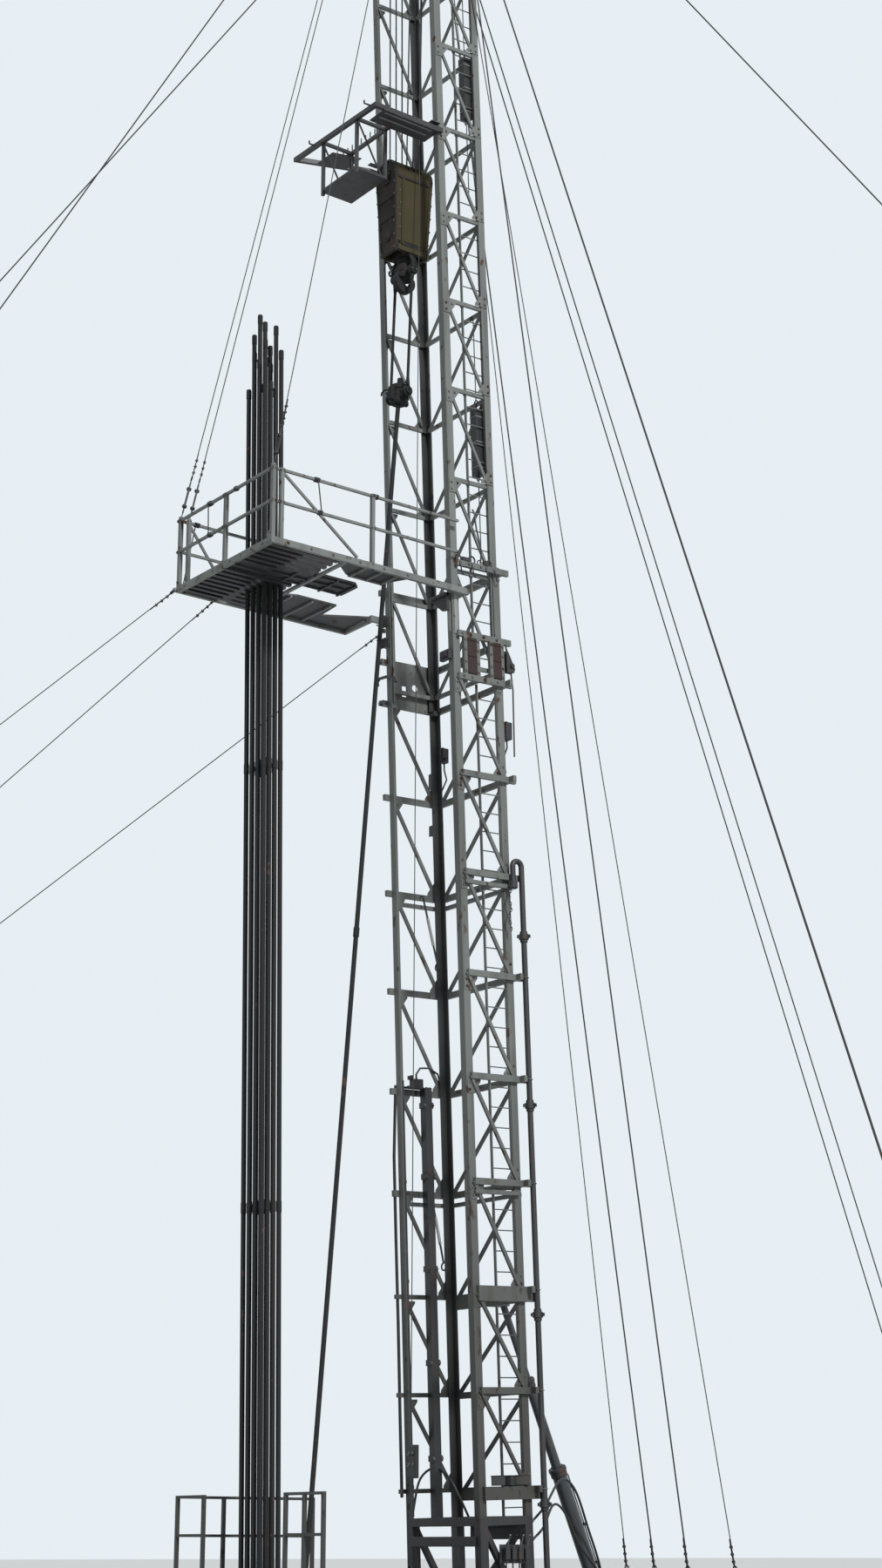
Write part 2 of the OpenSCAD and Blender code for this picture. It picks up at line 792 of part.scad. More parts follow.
module tubing_board_frame() {
    color(steel) translate([0, 0, board_z]) union() {
        board_bar_y(board_x, board_reach, near_y - 250, board_bar);
        board_bar_y(-board_far, board_reach, far_end, board_bar);
        translate([-board_far, -board_reach, 0])
            cube([board_far + board_x + board_bar, board_bar, board_deep]);
        translate([-board_far, -far_end - board_bar, 0])
            cube([board_far - half_w - 2, board_bar, board_deep]);
        translate([-board_x, -far_end - board_bar, 0])
            cube([girt_t - 2, far_end - near_y + 160, board_deep]);
        // Tie under the gangways
        translate([-board_far + 20, -side_start, 10])
            cube([board_far + board_x, board_bar, finger_h - 10]);
        translate([half_w, -near_y + 10, 0]) cube([girt_t, 90, board_deep]);
        eye(board_corner_eye - [0, 0, board_z]);
        eye(board_side_eye - [0, 0, board_z]);
    }
}

deck_z = board_z + finger_h;

module tubing_board_deck() {
    color(dark_steel) translate([0, 0, deck_z]) {
        translate([-board_far + board_bar, -board_reach + board_bar, 0])
            cube([board_far + board_x - board_bar, deck_depth - board_bar, deck_t]);
        // Middle gangway with its pointed end
        linear_extrude(deck_t)
            polygon([
                [gangway_x[0], -board_reach + deck_depth], [gangway_x[1], -board_reach + deck_depth],
                [gangway_x[1], -gangway_end - 120], [gangway_x[1] - 120, -gangway_end],
                [gangway_x[0], -gangway_end]
            ]);
        // Near gangway with chamfered ends
        linear_extrude(deck_t)
            polygon([
                [board_x, -side_start], [board_x - 180, -side_start],
                [board_x - near_plate_w, -side_start + 370], [board_x - near_plate_w, -side_end - 250],
                [board_x, -side_end]
            ]);
        // Far gangway, and the gusset plate that reaches in to the mast
        linear_extrude(deck_t)
            polygon([
                [-board_far + board_bar, -side_start], [-board_far + far_plate_w, -side_start],
                [-board_far + far_plate_w + 120, -side_start + 300],
                [-board_far + far_plate_w + 120, -side_end - 250], [-board_far + 400, -side_end - 200],
                [-half_w - 40, -far_end - board_bar - 40], [-board_far + board_bar, -far_end - board_bar]
            ]);
    }
}

module tubing_board_fingers() {
    color(dark_steel)
        for (x = finger_x)
            translate([x - finger_w / 2, -board_reach + board_bar, board_z])
                cube([finger_w, deck_depth - board_bar + finger_len, finger_h]);
}

outer_mid_x = -370;
near_post_y = 2190;

module tubing_board_rails() {
    z_top = board_rail - rail_bar;
    z_mid = board_rail / 2;
    color(steel) translate([0, 0, board_z + board_deep]) union() {
        for (x = [-board_far, board_x], y = [board_reach, board_reach - post_pair])
            translate([x, -y, 0]) cube([board_bar, board_bar, board_rail]);
        translate([outer_mid_x, -board_reach, 0]) cube([board_bar, board_bar, board_rail]);
        translate([-board_far, -far_rail_end, 0]) cube([board_bar, board_bar, board_rail]);
        translate([board_x, -near_post_y, 0]) cube([board_bar, board_bar, board_rail]);
        for (z = [z_top, z_mid]) {
            translate([-board_far, -board_reach, z]) cube([board_far + board_x + board_bar, rail_bar, rail_bar]);
            translate([board_x + 10, -board_reach, z]) cube([rail_bar, board_reach - near_y + 60, rail_bar]);
            translate([-board_far + 10, -board_reach, z])
                cube([rail_bar, board_reach - far_rail_end + 20, rail_bar]);
        }
        // Braces in the two side panels
        side_brace(board_x + 15, [-board_reach + 180, z_top], [-near_post_y - 250, 26], rail_bar, 30);
        side_brace(-board_far + 15, [-board_reach + 180, z_top], [-far_rail_end - 450, 26], rail_bar, 30);
        eye(post_eye_left - [0, 0, board_z + board_deep]);
        eye(post_eye_pair - [0, 0, board_z + board_deep]);
        eye(post_eye_right - [0, 0, board_z + board_deep]);
    }
}

module board_hangers() {
    color(dark_steel) {
        line(eye_hang_left, post_eye_left, hanger_d);
        line(eye_hang_pair, post_eye_pair, hanger_d);
        line(eye_hang_right, post_eye_right, hanger_d);
    }
}

/* Rod basket */

basket_w = 60;
basket_h = 80;
basket_reach = 2100;
// The basket's side bars end against the outer faces of the upper legs
basket_leg_y = mast_point([0, nest, basket_z])[1] + leg_flange / 2;
basket_side_x = half_u + basket_w / 2;
basket_path = [[basket_side_x, basket_leg_y], [basket_side_x, -basket_reach], [-1320, -2160],
    [-basket_side_x, basket_leg_y - 200], [-basket_side_x, basket_leg_y]];

inner_w = 50;
inner_h = 60;
inner_y = -1550;
// Ends of the inner bar, and the two cross bars that tie it to the outer one
inner_x = [-1070, 450];
tie_x = [-630, 330];

module rod_basket_frame() {
    color(dark_steel) translate([0, 0, basket_z]) union() {
        translate([0, 0, -basket_h / 2])
            linear_extrude(basket_h) polygon(strip(basket_path, basket_w));
        translate([inner_x[0], inner_y, -inner_h / 2])
            cube([basket_side_x - inner_x[0], inner_w, inner_h]);
        for (x = tie_x)
            translate([x, -basket_reach - 10, -inner_h / 2 + 5])
                cube([inner_w, basket_reach + inner_y + 20, inner_h - 10]);
    }
}

tray_w = 50;
tray_edge = 40;
sheet_t = 12;
plank_w = 420;

module rod_basket_tray() {
    x0 = tie_x[0];
    x1 = tie_x[1] + inner_w - tray_w;
    y0 = -basket_reach - 20;
    y1 = inner_y;
    color(dark_steel) translate([0, 0, basket_z - tray_drop]) union() {
        translate([x0, y0, 0]) cube([x1 + tray_w - x0, y1 + tray_w - y0, sheet_t]);
        for (y = [y0, y1])
            translate([x0, y, 0]) cube([x1 + tray_w - x0, tray_w, tray_edge]);
        for (x = [x0, x1])
            translate([x, y0, 0]) cube([tray_w, y1 + tray_w - y0, tray_edge]);
        for (x = [x0, x1]) {
            translate([x, y0, -60]) cube([tray_w, tray_w, tray_drop + 60 - basket_h / 2]);
            translate([x, y1, 0]) cube([tray_w, tray_w, tray_drop - inner_h / 2]);
        }
    }
    // Plank along the near side, short of the leg, and plate in the far corner, under the frame
    color(dark_steel) translate([0, 0, basket_z - basket_h / 2 - sheet_t]) {
        translate([basket_side_x + basket_w / 2 - plank_w, -basket_reach + 150, 0])
            cube([plank_w, basket_reach - 150 + basket_leg_y - leg_flange / 2 - 10, sheet_t]);
        linear_extrude(sheet_t)
            polygon([[-1150, -1850], [-1040, -1350], [-560, -1350], [-700, -1850]]);
    }
}

weight_w = 150;
weight_h = 1150;
weight_v = 705;
weight_levels = [upper_level(2) + 200, upper_level(6) + 370];

module line_weights() {
    color(dark_steel) on_mast()
        for (h = weight_levels)
            translate([upper_in - upper_girt_t - rail_wide - weight_w, weight_v, h])
                cube([weight_w, weight_w, weight_h]);
}

/* Guys */

anchor_eye = [0, 0, 300];
anchor_front_left = [-10000, -16600, 0];
anchor_far_left = [-13000, -19500, 0];
anchor_front_right = [18000, -8000, 0];
anchor_back_right = [18900, 12000, 0];
anchor_back_left = [-4000, 16000, 0];
anchor_back_twin = [-4400, 16000, 0];
anchor_board = [-13400, -18900, 0];
anchor_side = [-9600, -16900, 0];
anchor_leg = [-10400, -16300, 0];
anchors = [anchor_front_left, anchor_far_left, anchor_front_right, anchor_back_right,
    anchor_back_left, anchor_back_twin, anchor_board, anchor_side, anchor_leg];

module crown_guys() {
    color(dark_steel) {
        line(eye_front_left, anchor_front_left + anchor_eye, guy_d);
        line(eye_back_left, anchor_far_left + anchor_eye, guy_d);
        line(eye_front_right, anchor_front_right + anchor_eye, guy_d);
        line(eye_back_right, anchor_back_right + anchor_eye, guy_d);
        line(eyes_back[0], anchor_back_twin + anchor_eye, guy_d);
        line(eyes_back[1], anchor_back_left + anchor_eye, guy_d);
    }
}

module board_guys() {
    color(dark_steel) {
        line(board_corner_eye, anchor_board + anchor_eye, hanger_d);
        line(board_side_eye, anchor_side + anchor_eye, hanger_d);
        line(leg_eye, anchor_leg + anchor_eye, hanger_d);
    }
}

module load_guys() {
    color(dark_steel) {
        line(eye_side_load, skid_eye_right, guy_d);
        line(eye_side_thin, skid_eye_thin, hanger_d);
        line(eyes_back[2], skid_eye_left, guy_d);
        line(eyes_back[3], skid_eye_inner, hanger_d);
    }
}

module guy_anchors() {
    color(dark_steel)
        for (a = anchors)
            union() {
                translate(a) cylinder(h = anchor_eye[2], r = 25, $fn = 16);
                eye(a + anchor_eye);
            }
}

/* Hoisting gear */

block_bottom = block_top - block_h;
block_plate = 60;
block_in = block_w / 2 - block_plate;
block_axis_z = block_top - sheave_r - 90;
block_sheave_x = [-130, 0, 130];
line_d = 24;

module block_lines() {
    y = sheave_r + line_d / 2 + seat;
    color(dark_steel)
        for (x = block_sheave_x, s = [-1, 1])
            rod_between([x, -well_y + s * y, block_axis_z], [x + s * 65, -well_y + s * y, shaft_z],
                line_d / 2, 8);
}

block_axis_h = block_axis_z - block_bottom;
block_foot = 0.72 * block_d;
guard_t = 12;

// Outline of the block seen from the side: round over the sheaves, tapering to the foot
function block_outline(inset) = concat(
    [for (a = [-12:12:192]) [(block_d / 2 - inset) * cos(a), block_axis_h + (block_d / 2 - inset) * sin(a)]],
    [[-block_foot / 2 + inset, 0], [block_foot / 2 - inset, 0]]
);

module block_slab(x0, x1, inset) {
    translate([x0, -well_y, block_bottom])
        rotate([90, 0, 90])
            linear_extrude(x1 - x0) polygon(block_outline(inset));
}

module travelling_block() {
    slot_w = sheave_w + 30;
    color(block_paint) union() {
        block_slab(-block_w / 2, -block_in, 0);
        block_slab(block_in, block_w / 2, 0);
        difference() {
            block_slab(-block_in - 5, block_in + 5, 3);
            translate([0, 0, -guard_t]) block_slab(-block_in, block_in, guard_t);
            block_slab(-block_in, block_in, guard_t);
            for (x = block_sheave_x, s = [-1, 1])
                translate([x - slot_w / 2, -well_y + (s > 0 ? 230 : -block_d / 2), block_axis_z + 90])
                    cube([slot_w, block_d / 2 - 230, block_d / 2]);
        }
    }
}

module block_sheaves() {
    color(dark_steel)
        translate([0, -well_y, block_axis_z])
            rotate([0, 90, 0]) union() {
                translate([0, 0, -block_in]) cylinder(h = 2 * block_in, r = shaft_r, $fn = 32);
                for (x = block_sheave_x)
                    translate([0, 0, x - sheave_w / 2]) cylinder(h = sheave_w, r = sheave_r, $fn = 48);
            }
}

// Hook: swivel yoke, barrel, a horn below, and an arm on each side that holds the end of the link pin
module hook() {
    arm_x = link_gap / 2 + 47;
    arm_w = 90;
    arm_t = 28;
    color(dark_steel)
        translate([0, -well_y, block_bottom]) union() {
            translate([-block_in, -140, 0]) cube([2 * block_in, 280, 200]);
            translate([0, 0, -120]) cylinder(h = 130, r = 85, $fn = 32);
            translate([0, 0, -200]) cylinder(h = 90, r1 = 150, r2 = 105, $fn = 32);
            translate([0, 0, -380]) cylinder(h = 180, r = 150, $fn = 32);
            translate([-55, 0, -430]) rotate([0, 90, 0])
                difference() {
                    cylinder(h = 110, r = 195, $fn = 40);
                    translate([-20, 45, -5]) cylinder(h = 120, r = 95, $fn = 40);
                    translate([-170, 60, -5]) cube([130, 200, 120]);
                }
            for (s = [-1, 1]) {
                translate([0, arm_w / 2, 0]) rotate([90, 0, 0]) linear_extrude(arm_w)
                    polygon(strip([
                        [s * (block_in - 16), 30], [s * (block_in - 16), -20],
                        [s * arm_x, -150], [s * arm_x, -hook_drop]
                    ], arm_t));
                translate([s * arm_x - arm_t / 2, 0, -hook_drop])
                    rotate([0, 90, 0]) cylinder(h = arm_t, r = 65, $fn = 32);
            }
            translate([-arm_x - 12, 0, -hook_drop])
                rotate([0, 90, 0]) cylinder(h = 2 * arm_x + 24, r = link_pin_r, $fn = 32);
        }
}

link_pin_r = 30;
hook_drop = 290;
link_lean = 2.3;
link_len = 2200;
link_eye_r = 85;
link_top = [0, -well_y, block_bottom - hook_drop];
elevator_pin = link_top + link_len * [0, -sin(link_lean), -cos(link_lean)];

module elevator_links() {
    color(dark_steel)
        for (s = [-1, 1])
            translate(link_top + [s * link_gap / 2, 0, 0])
                rotate([-link_lean, 0, 0]) difference() {
                    union() {
                        translate([0, 0, -link_len]) cylinder(h = link_len, r = 24, $fn = 24);
                        for (z = [0, -link_len])
                            translate([-25, 0, z]) rotate([0, 90, 0])
                                cylinder(h = 50, r = link_eye_r, $fn = 32);
                    }
                    for (z = [0, -link_len])
                        translate([-40, 0, z]) rotate([0, 90, 0])
                            cylinder(h = 80, r = link_pin_r + seat, $fn = 32);
                }
}

elevator_h = 320;

module elevator() {
    color(dark_steel)
        translate(elevator_pin) rotate([-stand_lean, 0, 0]) union() {
            difference() {
                union() {
                    translate([0, 0, -elevator_h / 2]) cylinder(h = elevator_h, r = 125, $fn = 32);
                    translate([0, 0, elevator_h / 2 - 70]) cylinder(h = 70, r = 140, $fn = 32);
                    translate([-180, -55, -100]) cube([360, 110, 170]);
                    translate([-45, -185, -120]) cube([90, 110, 230]);
                    translate([0, 150, -elevator_h / 2 + 20]) cylinder(h = elevator_h - 60, r = 35, $fn = 24);
                }
                translate([0, 0, -elevator_h]) cylinder(h = 2 * elevator_h, r = tube_d / 2 + 3, $fn = 32);
            }
            for (s = [-1, 1])
                translate([s > 0 ? 120 : -link_gap / 2 - 60, 0, 0])
                    rotate([0, 90, 0]) cylinder(h = link_gap / 2 - 60, r = link_pin_r, $fn = 32);
        }
}

stand_gap = 100;
stand_down = (elevator_pin[2] - floor_z - stand_gap) / cos(stand_lean);
collar_r = tube_d / 2 + 10;

module hanging_stand() {
    color(dark_steel)
        translate(elevator_pin) rotate([-stand_lean, 0, 0]) union() {
            translate([0, 0, -stand_down]) cylinder(h = stand_down + elevator_h / 2 + 150, r = tube_d / 2, $fn = 24);
            translate([0, 0, elevator_h / 2 + seat]) cylinder(h = 140, r = collar_r, $fn = 24);
            translate([0, 0, -stand_down / 2]) cylinder(h = 140, r = collar_r, $fn = 24);
        }
}

base_skid();
levelling_jacks();
mast_support_frame();
work_floor();
floor_railings();
lower_mast_legs();
lower_left_bracing();
lower_right_bracing();
lower_back_bracing();
lower_mast_head();
upper_mast_legs();
upper_left_bracing();
upper_right_bracing();
upper_back_bracing();
lower_ladder();
upper_ladder();
side_column();
raising_ram();
standpipe();
crown_frame();
crown_sheaves();
tubing_board_frame();
tubing_board_deck();
tubing_board_fingers();
tubing_board_rails();
board_hangers();
rod_basket_frame();
rod_basket_tray();
line_weights();
racked_tubing();
crown_guys();
board_guys();
load_guys();
guy_anchors();
block_lines();
travelling_block();
block_sheaves();
hook();
elevator_links();
elevator();
hanging_stand();
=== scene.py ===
import json
import math

import bmesh
import bpy
from mathutils import Matrix, Vector


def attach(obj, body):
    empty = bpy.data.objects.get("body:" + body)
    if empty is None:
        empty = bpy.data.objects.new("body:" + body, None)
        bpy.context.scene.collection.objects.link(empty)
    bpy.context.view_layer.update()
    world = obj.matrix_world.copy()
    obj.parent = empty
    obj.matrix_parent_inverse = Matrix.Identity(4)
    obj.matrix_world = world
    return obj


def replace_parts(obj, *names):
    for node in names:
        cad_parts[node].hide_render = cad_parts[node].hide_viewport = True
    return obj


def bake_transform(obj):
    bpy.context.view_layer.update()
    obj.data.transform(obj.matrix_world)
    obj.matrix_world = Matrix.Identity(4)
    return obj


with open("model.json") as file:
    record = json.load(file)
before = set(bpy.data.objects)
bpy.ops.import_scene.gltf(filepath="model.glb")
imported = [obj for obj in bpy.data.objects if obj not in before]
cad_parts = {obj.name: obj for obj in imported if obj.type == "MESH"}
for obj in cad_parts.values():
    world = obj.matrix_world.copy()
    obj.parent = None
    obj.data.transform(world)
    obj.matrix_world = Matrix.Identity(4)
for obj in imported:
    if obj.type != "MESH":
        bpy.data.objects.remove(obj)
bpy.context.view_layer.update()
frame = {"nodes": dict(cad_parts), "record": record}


# The viewer stands on the ground to the right of the well and looks up at the mast.
# The focal length and the place were solved from the mast's parallel legs.
def put(name, data):
    """New object in the scene."""
    thing = bpy.data.objects.new(name, data)
    bpy.context.scene.collection.objects.link(thing)
    return thing


def aim(thing, axis, heading, height):
    """Turn an object's axis to these degrees left of +Y and above level."""
    a, e = math.radians(heading), math.radians(height)
    way = Vector((-math.sin(a) * math.cos(e), math.cos(a) * math.cos(e), math.sin(e)))
    thing.rotation_mode = "QUATERNION"
    thing.rotation_quaternion = way.to_track_quat(axis, "Y")


camera = put("camera", bpy.data.cameras.new("camera"))
camera.data.sensor_width = 36.0
camera.data.lens = 59.2
camera.data.clip_end = 2000.0
camera.location = (31.058, -23.589, 1.6)
aim(camera, "-Z", 52.9, 16.55)
bpy.context.scene.camera = camera
bpy.context.scene.view_settings.view_transform = "Standard"


# Pale floor and soft studio light: a wide sun from the viewer's left, a fill from the right, and an even
# pale surround that also shows behind the rig.
def feed(tree, target, inputs):
    """Set the inputs of a shader or geometry node: sockets are linked, values are stored."""
    for key, value in inputs.items():
        if isinstance(value, bpy.types.NodeSocket):
            tree.links.new(value, target.inputs[key])
        else:
            target.inputs[key].default_value = value
    return target


def node(tree, kind, inputs={}, **settings):
    """New node with its settings and inputs."""
    new = tree.nodes.new(kind)
    for key, value in settings.items():
        setattr(new, key, value)
    return feed(tree, new, inputs)


floor_half, floor_z = 400.0, -0.004
floor_mesh = bpy.data.meshes.new("floor")
floor_mesh.from_pydata([(x * floor_half, y * floor_half, floor_z)
    for x, y in ((-1, -1), (1, -1), (1, 1), (-1, 1))], [], [(0, 1, 2, 3)])
floor = put("floor", floor_mesh)
floor_paint = bpy.data.materials.new("floor_paint")
floor_paint.use_nodes = True
feed(floor_paint.node_tree, floor_paint.node_tree.nodes["Principled BSDF"],
    {"Base Color": (0.74, 0.75, 0.75, 1), "Roughness": 0.9})
floor_mesh.materials.append(floor_paint)


def sun(name, heading, height, strength, spread):
    lamp = put(name, bpy.data.lights.new(name, "SUN"))
    lamp.data.energy = strength
    lamp.data.angle = math.radians(spread)
    aim(lamp, "Z", heading, height)


sun("key_light", 262, 38, 3.0, 8)
sun("fill_light", 185, 25, 0.08, 40)
surround = bpy.data.worlds.new("surround")
surround.use_nodes = True
bpy.context.scene.world = surround
sky = surround.node_tree
ray = node(sky, "ShaderNodeLightPath").outputs
through = node(sky, "ShaderNodeMath", {0: ray["Is Glossy Ray"], 1: ray["Is Transmission Ray"]},
    operation="MAXIMUM")
seen = node(sky, "ShaderNodeMath", {0: ray["Is Camera Ray"], 1: through.outputs[0]}, operation="MAXIMUM")
lit = feed(sky, sky.nodes["Background"], {"Color": (0.86, 0.9, 0.94, 1), "Strength": 0.22})
shown = node(sky, "ShaderNodeBackground", {"Color": (0.8, 0.86, 0.9, 1), "Strength": 1.0})
choose = node(sky, "ShaderNodeMixShader", {0: seen.outputs[0], 1: lit.outputs[0], 2: shown.outputs[0]})
feed(sky, sky.nodes["World Output"], {"Surface": choose.outputs[0]})


# Mast steel: rolled angle and flat bar with a pale grey paint, chalked by the weather, streaked with dirt
# below every joint and broken by rust where the paint is knocked off.
def painted_steel(name, pale, grime, rust_share, gloss=0.55, metal=0.0, rust=(0.065, 0.036, 0.026),
        foot=0.0):
    """Paint with clouds, streaks of grime and specks of rust; foot is how much darker it grows near the
    ground, and any foot also adds painted shade on the back left leg.
    """
    mat = bpy.data.materials.new(name)
    mat.use_nodes = True
    nt = mat.node_tree
    place = node(nt, "ShaderNodeTexCoord").outputs["Object"]

    def noise(scale, stretch, detail=5.0):
        spread = node(nt, "ShaderNodeMapping", {"Vector": place, "Scale": stretch}).outputs[0]
        return node(nt, "ShaderNodeTexNoise",
            {"Vector": spread, "Scale": scale, "Detail": detail}).outputs["Fac"]

    def ramp(source, low, high, a, b):
        limits = {"Value": source, "From Min": low, "From Max": high, "To Min": a, "To Max": b}
        return node(nt, "ShaderNodeMapRange", limits).outputs["Result"]

    def mix(share, a, b):
        a, b = [(*c, 1) if isinstance(c, tuple) else c for c in (a, b)]
        return node(nt, "ShaderNodeMix", {"Factor": share, 6: a, 7: b}, data_type="RGBA").outputs[2]

    specks = ramp(noise(7.0, (1, 1, 0.6), 8.0), 0.66 - rust_share, 0.72 - rust_share, 0, 1)
    base = mix(ramp(noise(0.9, (1, 1, 0.5)), 0.35, 0.68, 0, 1), pale, tuple(c * 0.8 for c in pale))
    base = mix(ramp(noise(5.0, (1, 1, 0.09)), 0.48, 0.74, 0, 0.75), base, grime)
    base = mix(specks, base, rust)
    if foot:
        # darker towards the ground, and painted shade on the back left leg, found square to the leaning mast
        axes = node(nt, "ShaderNodeSeparateXYZ", {0: place}).outputs
        base = mix(ramp(axes["Z"], 2.0, 9.0, foot, 0), base, (0.03, 0.028, 0.026))
        depth = node(nt, "ShaderNodeMath", {0: axes["Z"], 1: 0.0349, 2: axes["Y"]},
            operation="MULTIPLY_ADD").outputs[0]
        back_leg_painted_shade = node(nt, "ShaderNodeMath",
            {0: ramp(axes["X"], -0.77, -0.74, 0.93, 0), 1: ramp(depth, 0.79, 0.81, 0, 1)},
            operation="MULTIPLY").outputs[0]
        base = mix(back_leg_painted_shade, base, (0.016, 0.016, 0.017))
    bump = node(nt, "ShaderNodeBump",
        {"Strength": 0.25, "Distance": 0.004, "Height": noise(38.0, (1, 1, 1), 3.0)})
    feed(nt, nt.nodes["Principled BSDF"], {"Base Color": base, "Metallic": metal, "Normal": bump.outputs[0],
        "Roughness": ramp(specks, 0, 1, gloss, 0.9)})
    return mat


# mast_paint darkens towards the ground; both mast paints carry painted shade on the back left leg
mast_paint = painted_steel("mast_paint", (0.142, 0.153, 0.144), (0.058, 0.058, 0.051), 0.04, foot=0.92)
upper_paint = painted_steel("upper_paint", (0.165, 0.178, 0.168), (0.07, 0.07, 0.062), 0.03, foot=0.5)
dark_paint = painted_steel("dark_paint", (0.02, 0.021, 0.024), (0.045, 0.036, 0.03), 0.04, 0.5)
rope_steel = painted_steel("rope_steel", (0.011, 0.011, 0.012), (0.016, 0.014, 0.013), 0.02, 0.6)


def finish_nodes(mat, *names):
    """Give these CAD nodes this finish."""
    for name in names:
        mesh = frame["nodes"][name].data
        mesh.materials.clear()
        mesh.materials.append(mat)


for subpart in frame["record"]["subparts"]:
    paint = {"mast_steel": mast_paint, "wire_rope": rope_steel}.get(subpart["material_slot"], dark_paint)
    finish_nodes(upper_paint if subpart["node"].startswith("upper_") else paint, subpart["node"])
finish_nodes(dark_paint, "mast_support_frame", "side_column")

# Joints of the two lattice sections: a welded gusset plate at each end of every diagonal brace, held to
# the leg with hexagon bolts on flat washers. The plates are flame cut from 10 mm sheet.
lean = Matrix.Rotation(math.radians(2), 4, "X")
across, y_axis, z_axis = Vector((1, 0, 0)), Vector((0, 1, 0)), Vector((0, 0, 1))
back, up = lean @ y_axis, lean @ z_axis
lower_levels = [2.469, 3.861, 5.312, 6.879, 8.446, 10.013, 11.58, 13.147, 14.714]
upper_levels = [14.904 + 1.562 * i for i in range(11)]
half_lower, half_upper, depth, nest = 0.885, 0.86, 0.967, 0.025


def on_mast(u, v, h):
    """Point of the leaning mast: u across, v back from its open front, h up along it."""
    return lean @ Vector((u, v, h))


def on_ground(x, y, z):
    return Vector((x, y, z))


def rectangle(a0, a1, b0, b1):
    return [(a0, b0), (a1, b0), (a1, b1), (a0, b1)]


def slab(outline, place, a, b, thick):
    """Flat plate with this outline in the directions a and b, rising by thick along a x b."""
    a, b = Vector(a), Vector(b)
    out = a.cross(b).normalized() * thick
    low = [Vector(place) + a * p + b * q for p, q in outline]
    n = len(low)
    sides = [(i, (i + 1) % n, (i + 1) % n + n, i + n) for i in range(n)]
    return low + [p + out for p in low], [tuple(range(n))[::-1], tuple(range(n, 2 * n))] + sides


def bar(p, q, wide, tall):
    """Square-edged bar from p to q."""
    p, q = Vector(p), Vector(q)
    run = q - p
    side = run.cross((0, 0, 1))
    side = Vector((1, 0, 0)) if side.length < 0.2 * run.length else side.normalized()
    over = side.cross(run.normalized())
    low = [p + side * x * wide / 2 + over * y * tall / 2 for x, y in rectangle(-1, 1, -1, 1)]
    return low + [c + run for c in low], [(0, 1, 2, 3), (4, 7, 6, 5), (0, 4, 5, 1), (1, 5, 6, 2),
        (2, 6, 7, 3), (3, 7, 4, 0)]


def flat_bar(x, y, z, wide, tall, on=on_ground):
    """Bar along each direction in which a pair of values is given."""
    ends = [on(*[c[i] if isinstance(c, tuple) else c for c in (x, y, z)]) for i in (0, 1)]
    return bar(*ends, wide, tall)


def mast_bar(u, v, h, wide, tall):
    return flat_bar(u, v, h, wide, tall, on_mast)


def add_piece(name, mesh, body):
    piece = put(name, mesh)
    if body:
        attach(piece, body)
    return piece


def make(name, shapes, mat, body="mast", bevel=0.0):
    """One mesh of closed shapes, faces outward, smooth but for edges sharper than 35 degrees."""
    bm = bmesh.new()
    for points, faces in shapes:
        verts = [bm.verts.new(p) for p in points]
        for face in faces:
            bm.faces.new([verts[i] for i in face])
    bmesh.ops.recalc_face_normals(bm, faces=bm.faces)
    if bevel:
        edges = [e for e in bm.edges if len(e.link_faces) == 2 and e.calc_face_angle() > 0.9]
        bmesh.ops.bevel(bm, geom=edges, offset=bevel, segments=1, affect="EDGES", clamp_overlap=True)
    for face in bm.faces:
        face.smooth = True
    for edge in bm.edges:
        edge.smooth = len(edge.link_faces) == 2 and edge.calc_face_angle() < math.radians(35)
    mesh = bpy.data.meshes.new(name)
    bm.to_mesh(mesh)
    bm.free()
    mesh.materials.append(mat)
    return add_piece(name, mesh, body)


def dark(name, shapes, mat=dark_paint, body="mast", bevel=0.0):
    """A piece in dark paint unless another finish is given."""
    return make(name, shapes, mat, body, bevel)


def bolt_tree():
    """Geometry nodes that set a hexagon head on a washer at every point, turned to its facing."""
    tree = bpy.data.node_groups.new("bolts_on_points", "GeometryNodeTree")
    for label, kind in (("Points", "Geometry"), ("Head Radius", "Float"), ("Head Height", "Float"),
            ("Washer Radius", "Float"), ("Washer Height", "Float"), ("Finish", "Material")):
        tree.interface.new_socket(label, in_out="INPUT", socket_type="NodeSocket" + kind)
    tree.interface.new_socket("Bolts", in_out="OUTPUT", socket_type="NodeSocketGeometry")
    given = node(tree, "NodeGroupInput").outputs
    join = node(tree, "GeometryNodeJoinGeometry")
    for corners, part in ((12, "Washer"), (6, "Head")):
        size = {"Vertices": corners, "Radius": given[part + " Radius"], "Depth": given[part + " Height"]}
        body = node(tree, "GeometryNodeMeshCylinder", size)
        half = node(tree, "ShaderNodeMath", {0: given[part + " Height"], 1: 0.5}, operation="MULTIPLY")
        shift = node(tree, "ShaderNodeCombineXYZ", {"Z": half.outputs[0]})
        lift = node(tree, "GeometryNodeTransform",
            {"Geometry": body.outputs["Mesh"], "Translation": shift.outputs[0]})
        feed(tree, join, {0: lift.outputs[0]})
    way = node(tree, "GeometryNodeInputNamedAttribute", {"Name": "facing"}, data_type="FLOAT_VECTOR")
    turn = node(tree, "FunctionNodeAlignRotationToVector", {"Vector": way.outputs["Attribute"]}, axis="Z")
    place = node(tree, "GeometryNodeInstanceOnPoints",
        {"Points": given["Points"], "Instance": join.outputs[0], "Rotation": turn.outputs[0]})
    solid = node(tree, "GeometryNodeRealizeInstances", {0: place.outputs[0]})
    paint = node(tree, "GeometryNodeSetMaterial",
        {"Geometry": solid.outputs[0], "Material": given["Finish"]})
    node(tree, "NodeGroupOutput", {0: paint.outputs[0]})
    return tree


bolts_on_points = bolt_tree()
bolt_steel = painted_steel("bolt_steel", (0.16, 0.155, 0.15), (0.08, 0.06, 0.045), 0.12, 0.45, 0.6)


